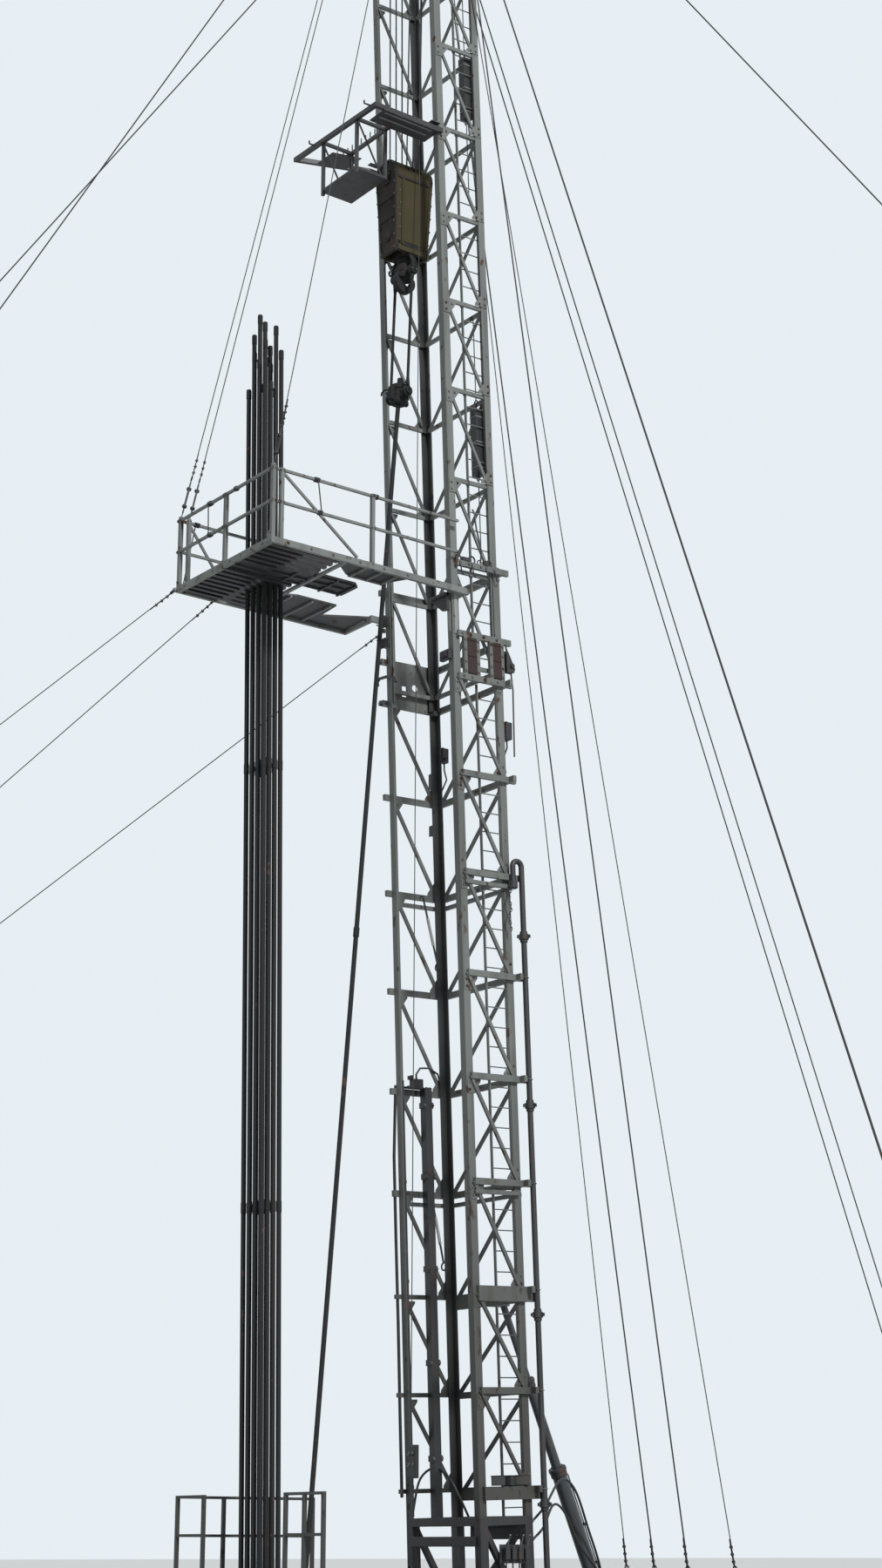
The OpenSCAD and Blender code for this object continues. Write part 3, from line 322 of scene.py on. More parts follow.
def bolts(name, spots, body="mast", head=0.017, tall=0.014):
    """Bolt heads on washers at spots, a list of (place, facing)."""
    mesh = bpy.data.meshes.new(name)
    mesh.from_pydata([tuple(p) for p, _ in spots], [], [])
    facing = mesh.attributes.new("facing", "FLOAT_VECTOR", "POINT")
    facing.data.foreach_set("vector", [c for _, way in spots for c in way])
    piece = add_piece(name, mesh, body)
    modifier = piece.modifiers.new("bolts", "NODES")
    modifier.node_group = bolts_on_points
    values = {"Head Radius": head, "Head Height": tall, "Washer Radius": head * 1.35,
        "Washer Height": tall * 0.3, "Finish": bolt_steel}
    for socket in bolts_on_points.interface.items_tree:
        if socket.name in values:
            modifier[socket.identifier] = values[socket.name]
    done = bpy.data.meshes.new_from_object(piece.evaluated_get(bpy.context.evaluated_depsgraph_get()))
    piece.modifiers.clear()
    piece.data = done


def grid(us, vs, hs, way, on=on_mast):
    """Bolts that face this way at every combination of the places."""
    return [(on(u, v, h), way) for u in us for v in vs for h in hs]


gussets, gusset_bolts = {"lower": [], "upper": []}, []
gusset_thick, gusset_clear = 0.01, 0.0005


def gusset(section, u, v, h, inward, rising, out):
    """Corner plate in a side face: inward is 1 towards the back, rising the side of the girt it stands on."""
    along, rise = back * inward, up * rising
    outline = [(0, 0), (0.245, 0), (0.245, 0.035), (0.11, 0.215), (0, 0.215)]
    turned_in = along.cross(rise).x * out < 0
    place = on_mast(u, v, h) + across * (out * gusset_thick if turned_in else 0)
    gussets[section].append(slab(outline, place, along, rise, gusset_thick))
    spot = on_mast(u + out * gusset_thick, v, h)
    for a, b in ((0.045, 0.05), (0.045, 0.16), (0.16, 0.045)):
        gusset_bolts.append((spot + along * a + rise * b, (out, 0, 0)))


for section, levels, half, front, drop in (("lower", lower_levels, half_lower, 0.012, 0.095),
        ("upper", upper_levels, half_upper, nest + 0.012, 0.065)):
    for low, high in zip(levels, levels[1:]):
        for out in (-1, 1):
            gusset(section, out * (half + gusset_clear), front, high - drop, 1, -1, out)
            gusset(section, out * (half + gusset_clear), depth - front, low, -1, 1, out)
make("lower_gussets", gussets["lower"], mast_paint)
make("upper_gussets", [g for g in gussets["upper"] if g[0][0].z > 16.6], upper_paint)
bolts("gusset_bolts", [s for s in gusset_bolts if abs(s[0].x) > 0.89 or s[0].z > 16.7])

# Ladders up the right side of both sections: flat rails with round rungs, welded from plain steel. Each
# rail is hung from the girts by a bent clip and a bolt.
ladder_clips, clip_bolts = [], []
for levels, u, first, top in ((lower_levels, 0.871, 0.45, 14.5), (upper_levels, 0.801, 0.47, 30.6)):
    for h in [level - 0.03 for level in levels if level <= top]:
        for v, s in ((first - 0.012, -1), (first + 0.4, 1)):
            ladder_clips += [mast_bar((u - 0.05, u + 0.014), v + 0.006, h, 0.012, 0.06),
                mast_bar(u + 0.008, (v - 0.02, v + 0.045), h, 0.01, 0.05)]
            clip_bolts.append((on_mast(u - 0.03, v + max(s, 0) * 0.012, h), (0, s, 0)))
make("ladder_clips", ladder_clips, mast_paint)
bolts("ladder_clip_bolts", clip_bolts, head=0.012, tall=0.01)


# Lock head of the lower section: rust-red sheets between the posts, a flame-cut plate, screw clamps, guide
# strips and the lever that turns the locking dogs. It is cut plate and bar, welded and bolted on site.
def spoke(a, b, degrees):
    """Direction at these degrees from a towards b."""
    return a * math.cos(math.radians(degrees)) + b * math.sin(math.radians(degrees))


def pipe(points, radius, sides=8):
    """Tube along points, its ends closed; the radius may be a function of the run and the angle."""
    points = [Vector(p) for p in points]
    runs = [(b - a).normalized() for a, b in zip(points, points[1:])]
    side = runs[0].orthogonal().normalized()
    verts, faces, gone = [], [], 0.0
    for i, p in enumerate(points):
        along = (runs[max(i - 1, 0)] + runs[min(i, len(runs) - 1)]).normalized()
        side = (side - along * side.dot(along)).normalized()
        gone += (p - points[i - 1]).length if i else 0
        for t in [360 * k / sides for k in range(sides)]:
            r = radius(gone, math.radians(t)) if callable(radius) else radius
            verts.append(p + spoke(side, along.cross(side), t) * r)
    for i in range(0, (len(points) - 1) * sides, sides):
        for k in range(sides):
            a, b = i + k, i + (k + 1) % sides
            faces.append((a, b, b + sides, a + sides))
    last = (len(points) - 1) * sides
    return verts, faces + [tuple(range(sides))[::-1], tuple(range(last, last + sides))]


def mast_pipe(points, radius):
    return pipe([on_mast(*p) for p in points], radius)


def turned(profile, place, axis, sides=24):
    """Solid of revolution: profile is a list of (radius, distance along the axis)."""
    place, axis = Vector(place), Vector(axis).normalized()
    side = axis.orthogonal().normalized()
    verts, faces, rings = [], [], []
    for r, h in profile:
        count = sides if r else 1
        rings.append(list(range(len(verts), len(verts) + count)))
        verts += [place + axis * h + spoke(side, axis.cross(side), 360 * k / sides) * r
            for k in range(count)]
    for low, high in zip(rings, rings[1:]):
        for k in range(sides):
            a, b = k % len(low), (k + 1) % len(low)
            c, d = (k + 1) % len(high), k % len(high)
            faces.append(tuple(dict.fromkeys((low[a], low[b], high[c], high[d]))))
    for ring in (rings[0][::-1], rings[-1]):
        if len(ring) > 1:
            faces.append(tuple(ring))
    return verts, faces


def disc(outer, low, high, place, axis, sides=24, inner=0):
    return turned([(inner, low), (outer, low), (outer, high), (inner, high)], place, axis, sides)


def knob(profile, place, axis, sides=24):
    """Solid of revolution with flat ends that reach the axis."""
    return turned([(0, profile[0][1])] + profile + [(0, profile[-1][1])], place, axis, sides)


def mirrored(half):
    """Profile made whole with its mirror image about distance 0."""
    return half + [(r, -h) for r, h in half[::-1]]


def arc(centre, a, b, radius, start, stop, steps):
    """Points on an arc from start to stop degrees, in the plane of a and b."""
    return [Vector(centre) + spoke(a, b, start + (stop - start) * k / steps) * radius
        for k in range(steps + 1)]


rust_red = painted_steel("rust_red", (0.028, 0.013, 0.012), (0.016, 0.01, 0.01), 0.08, 0.8,
    rust=(0.034, 0.017, 0.013))
worn_white = painted_steel("worn_white", (0.26, 0.27, 0.26), (0.12, 0.115, 0.105), 0.03)
lock, ledge, top = 14.714, 15.414, 16.589
sheets, ribs = [], []
for v0, v1 in ((0.232, 0.418), (0.742, 0.905)):
    sheets.append(slab(rectangle(v0, v1, lock + 0.004, ledge - 0.1), (0.938, 0, 0), back, up, 0.006))
    ribs += [mast_bar(0.949, (v0, v1), h, 0.01, 0.024) for h in (lock + 0.03, lock + 0.31, ledge - 0.13)]
make("head_sheets", sheets, rust_red)
make("head_sheet_ribs", ribs, rust_red)
bolt_rows = [h - 0.047 for h in (ledge, top, lock)]
post_rows = (lock + 0.05, lock + 0.2, lock + 0.4, ledge - 0.14)
head_bolts = grid([0.945], (0.2, 0.45, 0.71, 0.937), post_rows, across)
head_bolts += grid([0.945], (0.15, 0.32, 0.56, 0.82), bolt_rows, across)
head_bolts += grid([-0.945], (0.0, 0.3, 0.6, 0.9), bolt_rows[:2], -across)
head_bolts += grid([-0.897], (0.11, 0.48, 0.9), (14.79, 15.03, 15.26), -across)
bolts("head_bolts", head_bolts, head=0.019)

# screw clamps on the front left leg: a jaw plate, a back plate and two threaded rods with nuts
levers = []
for h, tall in ((16.02, 0.2), (15.66, 0.16)):
    jaw = [(-0.04, 0), (0.2, 0), (0.2, tall * 0.6), (0.1, tall), (-0.04, tall)]
    levers += [slab(jaw, on_mast(-0.885, -0.075, h - tall / 2), across, up, 0.022),
        mast_bar((-0.925, -0.7), -0.06, h, 0.03, tall * 0.55)]
    for rod_h in (h - 0.05, h + 0.05):
        levers += [mast_pipe([(-0.9, -0.17, rod_h), (-0.9, 0.05, rod_h)], 0.012),
            disc(0.024, 0, 0.02, on_mast(-0.9, -0.125, rod_h), back, 6)]
# bent bar clamp below the lower ring, and two stubs for the pull-back line
levers.append(mast_pipe([(-1.04, -0.07, 14.99), (-1.05, -0.07, 15.06), (-0.99, -0.07, 15.1),
    (-0.8, -0.08, 15.08), (-0.6, -0.08, 15.02), (-0.55, -0.07, 14.93)], 0.026))
for h in (15.36, 14.66):
    levers.append(knob([(0.032, 0), (0.032, 0.1), (0.045, 0.1), (0.045, 0.13)], on_mast(-0.9, 0, h),
        (-0.3, -1, 0), 12))
# lever bracket beyond the back right leg, with its pin and pull rod
bracket = [(0.03, 14.9), (0.17, 14.9), (0.2, 14.97), (0.06, 15.26), (0.03, 15.26)]
levers += [slab(bracket, (u, depth, 0), back, up, 0.02) for u in (0.947, 0.887)]
levers += [disc(0.035, 0, 0.14, on_mast(0.857, 1.1, 14.98), across, 12),
    mast_pipe([(0.92, 1.1, 14.98), (0.92, 1.14, 14.6), (0.92, 1.12, 13.5)], 0.013),
    mast_pipe([(0.92, 1.09, 15.0), (0.92, 1.02, 15.32), (0.9, 0.99, 15.36)], 0.016)]
dark("lock_levers", levers)

# dark lock housing under the front of the head, the small one below it and the guide strips on the corner
housings = [slab([(0.42, 16.02), (0.88, 16.02), (0.88, low), (u, low + 0.02)], on_mast(0, v, 0), across, up,
    thick) for low, u, v, thick in ((15.72, 0.74, -0.05, 0.05), (15.96, 0.44, -0.02, 0.12))]
housings += [mast_bar((0.62, 0.86), -0.04, 15.02, 0.08, 0.16),
    mast_bar((0.66, 0.82), -0.09, 15.02, 0.03, 0.08)]
dark("lock_housings", housings, bevel=0.008)
make("guide_strips", [slab(rectangle(0.035, 0.1, 15.36, 16.02), (0.886, 0, 0), back, up, 0.012),
    slab(rectangle(-0.1, -0.03, 15.4, 16.0), on_mast(0.885, -0.012, 0), across, up, 0.012)], worn_white)

# slings, hooks and shackles left lying along the top ledge on the right side
kit = [pipe(arc(on_mast(0.915, v, top + r * 0.8), back, up, r, -30, 250, 9), r * 0.24)
    for v, r in ((0.13, 0.05), (0.24, 0.035), (0.4, 0.06), (0.55, 0.04), (0.74, 0.055))]
kit += [mast_bar(0.93, (0.18, 0.34), top + 0.03, 0.05, 0.055),
    mast_bar(0.93, (0.62, 0.7), top + 0.035, 0.06, 0.07)]
kit.append(mast_pipe([(0.9, 0.455, top + 0.92), (0.93, 0.47, top + 0.86), (0.93, 0.5, top + 0.6),
    (0.95, 0.555, top + 0.3), (0.95, 0.57, top + 0.2), (0.93, 0.56, top + 0.02)], 0.014))
kit += [mast_pipe([(0.95, v, top - 0.02), (0.965, v, top - 0.12), (0.955, v + 0.02, top - 0.22),
    (0.955, v + 0.055, top - 0.24), (0.955, v + 0.075, top - 0.19)], 0.011)
    for v in (0.14, 0.38, 0.66, 0.84)]
dark("ledge_hooks", kit)

# Lamp and junction boxes on the back legs: cast boxes with lids, each held by a flat strap. Its cable
# leaves through a thin steel tube that bends in to the leg below.
boxes, lids = [], []
for u, v, h, w, t in ((0.83, 1.05, 13.92, 0.16, 0.28), (-0.8, 1.05, 13.92, 0.12, 0.24),
        (-1.03, 1.03, 13.54, 0.15, 0.25), (-1.05, 1.03, 12.72, 0.16, 0.16)):
    foot = h - t / 2
    boxes += [mast_bar((u - w / 2, u + w / 2), v, h, 0.11, t),
        mast_bar((u * 0.8, u), v - 0.04, h - t * 0.3, 0.02, 0.05),
        mast_pipe([(u, v, foot), (u, v, foot - 0.12), (u * 0.9, v - 0.02, foot - 0.3),
        (math.copysign(0.86, u), 0.985, foot - 0.55)], 0.013)]
    lids.append(mast_bar((u - w / 2 - 0.008, u + w / 2 + 0.008), v - 0.062, h, 0.02, t + 0.016))
dark("junction_boxes", boxes, bevel=0.006)
dark("junction_box_lids", lids, bevel=0.004)

# Side column: a square tube beside the left legs, capped by a bolted plate that carries a small housing.
# A guard tube and two hoses run down the leg beside it.
column_clamps = (2.9, 4.3, 5.7, 7.1, 8.2)
dark("column_clamps", [mast_bar((-0.877, -0.76), v, h, 0.03, 0.09) for v in (0.44, 0.6)
    for h in column_clamps] +
    [mast_pipe([(-0.82, 0.34, 8.6), (-0.82, 0.34, 8.68), (-0.82, 0.42, 8.78), (-0.86, 0.62, 8.8),
    (-0.87, 0.8, 8.72), (-0.87, 0.86, 8.5)], 0.016), mast_bar((-0.875, -0.765), 0.225, 8.62, 0.03, 0.06)])
dark("leg_guard", [mast_bar(-0.815, 0.035, (2.07, 8.56), 0.1, 0.05)] +
    [mast_bar((-0.87, -0.76), 0.035, h, 0.06, 0.05) for h in (2.5, 4.0, 5.5, 7.0, 8.4)])
dark("leg_hoses",
    [mast_pipe([(u, -0.028, 2.35), (u, -0.028, 3.4), (u + 0.01, -0.03, 4.9), (u, -0.028, 6.2),
    (u, -0.028, 7.4), (u + 0.03, 0.01, 8.5)], 0.014) for u in (-0.93, -0.965)])
bolts("column_bolts", grid((-0.865, -0.775), (0.15, 0.22, 0.5, 0.56), [8.471], up) +
    grid([-0.755], (0.44, 0.6), column_clamps, across))

# Raising ram: a three-stage telescoping cylinder of ground steel tube with a bolted gland on each stage,
# trunnion pins at its head and foot, and rigid oil tubes clamped along the barrel.
finish_nodes(painted_steel("ram_paint", (0.045, 0.05, 0.055), (0.028, 0.028, 0.028), 0.02, 0.32),
    "raising_ram")
ram_top, ram_foot = on_mast(0, 1.227, 5.202), Vector((0, 3.06, 0.53))
ram_way = (ram_foot - ram_top).normalized()
ram_side, gland_side = ram_way.cross(across).normalized(), ram_way.orthogonal().normalized()


def on_ram(down, off=0.0, x=0.0):
    """Point this far down the ram, off its line towards the mast and across it."""
    return ram_top + ram_way * down - ram_side * off + across * x


glands, gland_bolts = [], []
for start, inner, outer in ((1.26, 0.052, 0.1), (2.66, 0.075, 0.138)):
    glands.append(turned([(inner + 0.002, 0), (outer - 0.012, 0), (outer, 0.012), (outer, 0.055),
        (outer - 0.01, 0.06), (outer - 0.01, 0.13), (outer - 0.02, 0.14), (inner + 0.01, 0.14)],
        on_ram(start), ram_way, 32))
    gland_bolts += [(bolt_at, -ram_way)
        for bolt_at in arc(on_ram(start), gland_side, ram_way.cross(gland_side), outer - 0.022, 0, 315, 7)]
glands.append(turned([(0.113, 0), (0.126, 0.006), (0.126, 0.06), (0.113, 0.066)], on_ram(4.86), ram_way,
    32))
for x in (-0.105, 0.105):
    glands += [disc(0.06, 0, 0.03, ram_foot + across * (x * 1.05 - 0.015), across),
        disc(0.045, 0, 0.028, ram_top + across * (x * 1.28 - 0.014), across, 16)]
dark("ram_glands", glands)
bolts("ram_gland_bolts", gland_bolts, head=0.011, tall=0.012)
oil = [pipe([on_ram(a - 0.02, 0.1, x), on_ram(a, 0.126, x), on_ram(4.8, 0.126, x), on_ram(4.86, 0.096, x)],
    0.011) for x, a in ((0.045, 2.82), (-0.045, 2.95))]
oil += [bar(on_ram(d, 0.118, -0.075), on_ram(d, 0.118, 0.075), 0.03, 0.045) for d in (3.0, 3.6, 4.2, 4.7)]
dark("ram_oil_tubes", oil)

# Standpipe: heavy pipe clamped up the back right leg with U-bolts, hammer unions between its lengths,
# and a gooseneck at the top whose end is closed by a cap on a safety chain.
pipe_u, pipe_v, pipe_top = 0.995, 1.112, 11.7
unions, ubolts = [], []
for h in (2.2, 4.9, 8.0, 10.6):
    middle = on_mast(pipe_u, pipe_v, h)
    unions.append(turned(mirrored([(0.045, -0.09), (0.058, -0.085), (0.06, -0.045), (0.078, -0.04)]),
        middle, up))
    for way in [spoke(across, back, 120 * k + 20) for k in range(3)]:
        unions.append(bar(middle + way * 0.07, middle + way * 0.112, 0.03, 0.05))
cap_place = on_mast(pipe_u, pipe_v - 0.17, pipe_top - 0.3)
unions.append(turned([(0, -0.06), (0.05, -0.06), (0.07, -0.045), (0.07, 0.035), (0.055, 0.045),
    (0.045, 0.07)], cap_place, up))
for h in lower_levels[:6]:
    base = on_mast(pipe_u, pipe_v, h - 0.05)
    ubolts.append(pipe([base - across * 0.085 + back * 0.052] + arc(base, across, back, 0.052, 90, -90, 8) +
        [base - across * 0.085 - back * 0.052], 0.008))
dark("standpipe_unions", unions)
dark("standpipe_u_bolts", ubolts, bolt_steel)


def chain(points, link, wire):
    """Oval links of round wire, each turned a quarter on the last, along points one link apart."""
    shapes, n, m = [], 12, 5
    for i, (p, q) in enumerate(zip(points, points[1:])):
        way = (q - p).normalized()
        side = way.orthogonal().normalized()
        side = way.cross(side) if i % 2 else side
        out = way.cross(side)
        ring = [(p + q) / 2 + spoke(way * link * 0.68, side * link * 0.36, 360 * k / n) for k in range(n)]
        verts, faces = [], []
        for k in range(n):
            inward = (ring[(k + 1) % n] - ring[k - 1]).normalized().cross(out)
            verts += [ring[k] + spoke(inward, out, 360 * j / m) * wire for j in range(m)]
            for a, b in [(k * m + j, k * m + (j + 1) % m) for j in range(m)]:
                faces.append((a, b, (b + m) % (n * m), (a + m) % (n * m)))
        shapes.append((verts, faces))
    return shapes


chain_top = cap_place + Vector((0.01, -0.075, 0.02))
dark("standpipe_chain", chain([chain_top + Vector((0, 0.02 * math.sin(k), -0.05 * k)) for k in range(16)],
    0.05, 0.007))

# Crown: welded beams over the upper legs with four grooved cast sheaves on one shaft, each wheel with a
# rim, a dished web and a hub, and bolted caps on the shaft's bearings.
well_y, shaft_z, crown_base = -0.87, 31.743, 31.284
crown_y = [-1.0125, -0.8875, -0.7625, -0.6375]


def sheave(y, z, r):
    """Grooved wheel turned about Y."""
    half = 0.03
    return turned(mirrored([(0.042, -half * 0.9), (r * 0.25, -half * 0.9), (r * 0.28, -half * 0.35),
        (r * 0.8, -half * 0.3), (r * 0.84, -half), (r, -half), (r, -half * 0.72),
        (r * 0.93, -half * 0.36)]), (0, y, z), y_axis, 48)


sheave_paint = painted_steel("sheave_paint", (0.085, 0.082, 0.078), (0.05, 0.04, 0.03), 0.09, 0.45, 0.3)
crown_wheels = [sheave(y, shaft_z, 0.28) for y in crown_y]
crown_wheels.append(turned(mirrored([(0, -0.29), (0.038, -0.29), (0.045, -0.283)]), (0, -0.83, shaft_z),
    y_axis, 32))
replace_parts(dark("crown_sheave_wheels", crown_wheels, sheave_paint), "crown_sheaves")
carriers, caps, cap_bolts, rods = [], [], [], []
for y, foot_z, s in ((-1.065, 31.416, -1), (-0.566, 31.433, 1)):
    rise = shaft_z - foot_z
    outline = [(-0.42, 0), (0.42, 0), (0.42, 0.05), (0.11, rise + 0.02), (0.075, rise + 0.075),
        (-0.075, rise + 0.075), (-0.11, rise + 0.02), (-0.42, 0.05)]
    carriers.append(slab(outline, (0, y, foot_z), across, z_axis, 0.03))
    carriers += [flat_bar((x - 0.04, x + 0.04), y - 0.015, foot_z + 0.012, 0.1, 0.02)
        for x in (-0.375, 0.375)]
    face = y - 0.03 if s < 0 else y
    caps.append(knob([(0.078, 0), (0.072, 0.01), (0.05, 0.012), (0.046, 0.03)], (0, face, shaft_z),
        y_axis * s))
    cap_bolts += grid((-0.375, 0.375), (y - 0.05, y + 0.02), [foot_z + 0.022], z_axis, on_ground)
    cap_bolts += grid((-0.06, 0.06), [face], [shaft_z - 0.055], y_axis * s, on_ground)
for s in (-1, 1):
    caps += [knob([(0.06, -0.004), (0.06, 0.006), (0.04, 0.01)], (s * x, well_y, shaft_z), across * s * way)
        for x, way in ((0.33, -1), (0.42, 1))]
    rods.append(pipe([(s * 0.335, -1.13, shaft_z + 0.03), (s * 0.335, -0.5, shaft_z + 0.03)], 0.013))
    rods += [flat_bar((s * 0.08, s * 0.345), y, shaft_z + 0.03, 0.012, 0.045) for y in (-1.115, -0.53)]
make("crown_carrier_plates", carriers, upper_paint, bevel=0.002)
dark("crown_bearing_caps", caps)
bolts("crown_bearing_bolts", cap_bolts, head=0.014)
make("crown_rope_guards", rods, upper_paint)
bolts("crown_bolts", grid((-0.81, 0.81), (0.02, 0.09, 0.3, 0.6, 0.86, 0.93), [crown_base + 0.15], up) +
    grid((-0.7, -0.5, -0.2, 0.2, 0.5, 0.7), [-0.035], (crown_base + 0.04, crown_base + 0.11), -y_axis))


# Hoisting line: one wire rope of six strands reeved over four crown sheaves and under three block sheaves,
# so that six parts of it carry the block. Each part is stranded.
def stranded(gone, angle, radius=0.013, strands=6, lay=0.16):
    """Radius of the rope, with a lobe for each strand, after this run and at this angle."""
    return radius * (0.9 + 0.1 * abs(math.cos(strands / 2 * (angle - 2 * math.pi * gone / lay))))


def between(p, q, step=0.09):
    """Even points from p towards q, without either end."""
    p, q = Vector(p), Vector(q)
    n = max(1, round((q - p).length / step))
    return [p + (q - p) * k / n for k in range(1, n)]


block_axis, block_y = 23.52, [-0.995, -0.87, -0.745]
crown_groove, groove = 0.266, 0.234
rope_path = arc((0, crown_y[0], shaft_z), across, z_axis, crown_groove, 0, 180, 16)
for y, y0, y1 in zip(block_y, crown_y, crown_y[1:]):
    rope_path += between((-crown_groove, y0, shaft_z), (-groove, y, block_axis))
    rope_path += arc((0, y, block_axis), across, z_axis, groove, 180, 360, 16)
    rope_path += between((groove, y, block_axis), (crown_groove, y1, shaft_z))
    rope_path += arc((0, y1, shaft_z), across, z_axis, crown_groove, 0, 180, 16)
reeving = make("hoisting_rope", [pipe(rope_path, stranded, 12)], rope_steel, body=None)
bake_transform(reeving)
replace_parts(reeving, "block_lines")

# Block sheaves: three grooved cast steel wheels side by side on one pin between the block's side plates.
# Rings on the pin hold them apart.
wheels = [sheave(y, block_axis, 0.248) for y in block_y]
wheels.append(disc(0.045, -0.315, 0.315, (0, well_y, block_axis), y_axis))
wheels += [disc(0.085, -0.018, 0.018, (0, well_y + y, block_axis), y_axis, inner=0.046)
    for y in (-0.22, -0.0625, 0.0625, 0.22)]
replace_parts(dark("block_sheave_wheels", wheels, sheave_paint, "hoist"), "block_sheaves")

# Travelling block: a curved guard in worn mustard paint, bolted to two thick side plates coloured dark brown
# as painted shade, with flanged edges, welded ribs, and bosses with keeper plates for the sheave pin and the
# lower pin.
block_paint = painted_steel("block_paint", (0.04, 0.031, 0.006), (0.02, 0.016, 0.007), 0.03, 0.8)
# dark brown for the block's side plates and their trim: painted shade
block_painted_shade = painted_steel("block_painted_shade", (0.015, 0.012, 0.009), (0.011, 0.009, 0.008), 0.05, 0.8)
finish_nodes(block_paint, "travelling_block")
foot_z, half_y, round_r, foot_x = 22.1, 0.37, 0.285, 0.205
foot, lift = Vector((0, well_y, foot_z)), block_axis - foot_z
guard_r, guard_wide, guard_rise = 0.282, 0.2788, lift - 0.0593


def round_top(r, start, stop, step=6):
    """Arc about the sheave pin as (distance across, height above the foot)."""
    return [(r * math.cos(math.radians(a)), lift + r * math.sin(math.radians(a)))
        for a in range(start, stop + 1, step)]


def block_edge(inset):
    """Outline of a side plate."""
    return round_top(round_r - inset, -12, 192, 12) + [(-foot_x + inset, inset), (foot_x - inset, inset)]


def ring_plate(outer, inner, place, a, b, thick):
    """Flat closed band between two outlines with the same number of points."""
    out = a.cross(b).normalized() * thick
    n = len(outer)
    verts = [place + a * p + b * q for p, q in outer + inner]
    faces = []
    for k in range(n):
        m = (k + 1) % n
        faces += [(k, m, n + m, n + k), (2 * n + k, 3 * n + k, 3 * n + m, 2 * n + m),
            (k, 2 * n + k, 2 * n + m, m), (n + k, n + m, 3 * n + m, 3 * n + k)]
    return verts + [v + out for v in verts], faces


def guard_x(h):
    """How far the guard stands out at this height above the foot, below the round of the sheaves."""
    return foot_x + (guard_wide - foot_x) * h / guard_rise


def tucked(p):
    """The side plates lean in towards the foot of the block."""
    h = min(max((p[2] - foot_z) / lift, 0.0), 1.0)
    return Vector((p[0], well_y + (p[1] - well_y) * (0.86 + 0.14 * h * (2 - h)), p[2]))


def block_part(name, shapes, mat=block_paint, bevel=0.0):
    shapes = [([tucked(p) for p in points], faces) for points, faces in shapes]
    return make(name, shapes, mat, "hoist", bevel)


def guard_slab(outline, low, high):
    return slab(outline, foot + y_axis * high, across, z_axis, high - low)


# the side plates take the dark brown painted shade, not the mustard paint
side_plates = [slab(block_edge(0.0), foot + y_axis * y, across, z_axis, 0.05) for y in (-0.32, half_y)]
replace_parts(block_part("block_side_plates", side_plates, block_painted_shade, 0.004), "travelling_block")
guard = [guard_slab(round_top(guard_r, 48, 132) + round_top(0.27, 48, 132)[::-1], -0.322, 0.322)]
for s in (-1, 1):
    flank = [(0.202, 0)] + round_top(guard_r, -12, 18) + round_top(0.27, -12, 18)[::-1] + [(0.19, 0)]
    guard.append(guard_slab([(s * x, z) for x, z in flank], -0.322, 0.322))
    tongue = [(s * x, z) for x, z in round_top(guard_r, 18, 48) + round_top(0.27, 18, 48)[::-1]]
    guard += [guard_slab(tongue, *span) for span in ((-0.322, -0.168), (-0.082, -0.043), (0.043, 0.082),
        (0.168, 0.322))]
block_part("block_guard", guard)

# The two guard faces carry a raised panel between flanged edges, with upright ribs and a foot strip
block_trim, block_panels, block_bolts, block_dark = [], [], [], []
slope = Vector((guard_wide - foot_x, 0, guard_rise)).normalized()
long = guard_rise / slope.z
for s in (-1, 1):
    rise, out = Vector((s * slope.x, 0, slope.z)), Vector((s * slope.z, 0, -slope.x))

    def on_guard(y, h, off=0.0):
        """Point of this guard face: y behind the well, h up the face and off it."""
        return foot + across * s * (foot_x - 0.003) + y_axis * y + rise * h + out * off

    block_trim += [bar(on_guard(y, 0.14, t / 2), on_guard(y, long - 0.06, t / 2), t, w)
        for y, w, t in ((-0.225, 0.036, 0.02), (0.33, 0.03, 0.014), (-0.342, 0.024, 0.01))]
    block_trim.append(bar(on_guard(-0.33, 0.06, 0.012), on_guard(0.33, 0.06, 0.012), 0.028, 0.085))
    block_panels.append(bar(on_guard(0.055, 0.19, 0.004), on_guard(0.055, long - 0.09, 0.004), 0.01, 0.5))
    block_dark += [bar(on_guard(-0.2, 0.125, 0.008), on_guard(0.3, 0.118, 0.008), 0.016, 0.014),
        bar(on_guard(-0.33, long - 0.03, 0.006), on_guard(0.33, long - 0.03, 0.006), 0.014, 0.045),
        knob([(0.026, 0), (0.026, 0.022), (0.014, 0.03)], on_guard(-0.285, 0.175), out, 14)]
    block_bolts += grid([0], (-0.275, 0.35), (0.2, 0.42, 0.64, 0.86, 1.08), out,
        lambda _, y, h: on_guard(y, h))
    # lips round the rope slots
    for y in [slot_y + dy for slot_y in (-0.125, 0, 0.125) for dy in (-0.046, 0.046)]:
        block_trim.append(pipe([foot + Vector((s * x, y, z))
            for x, z in round_top(round_r - 0.002, 18, 48, 10)], 0.007, 6))

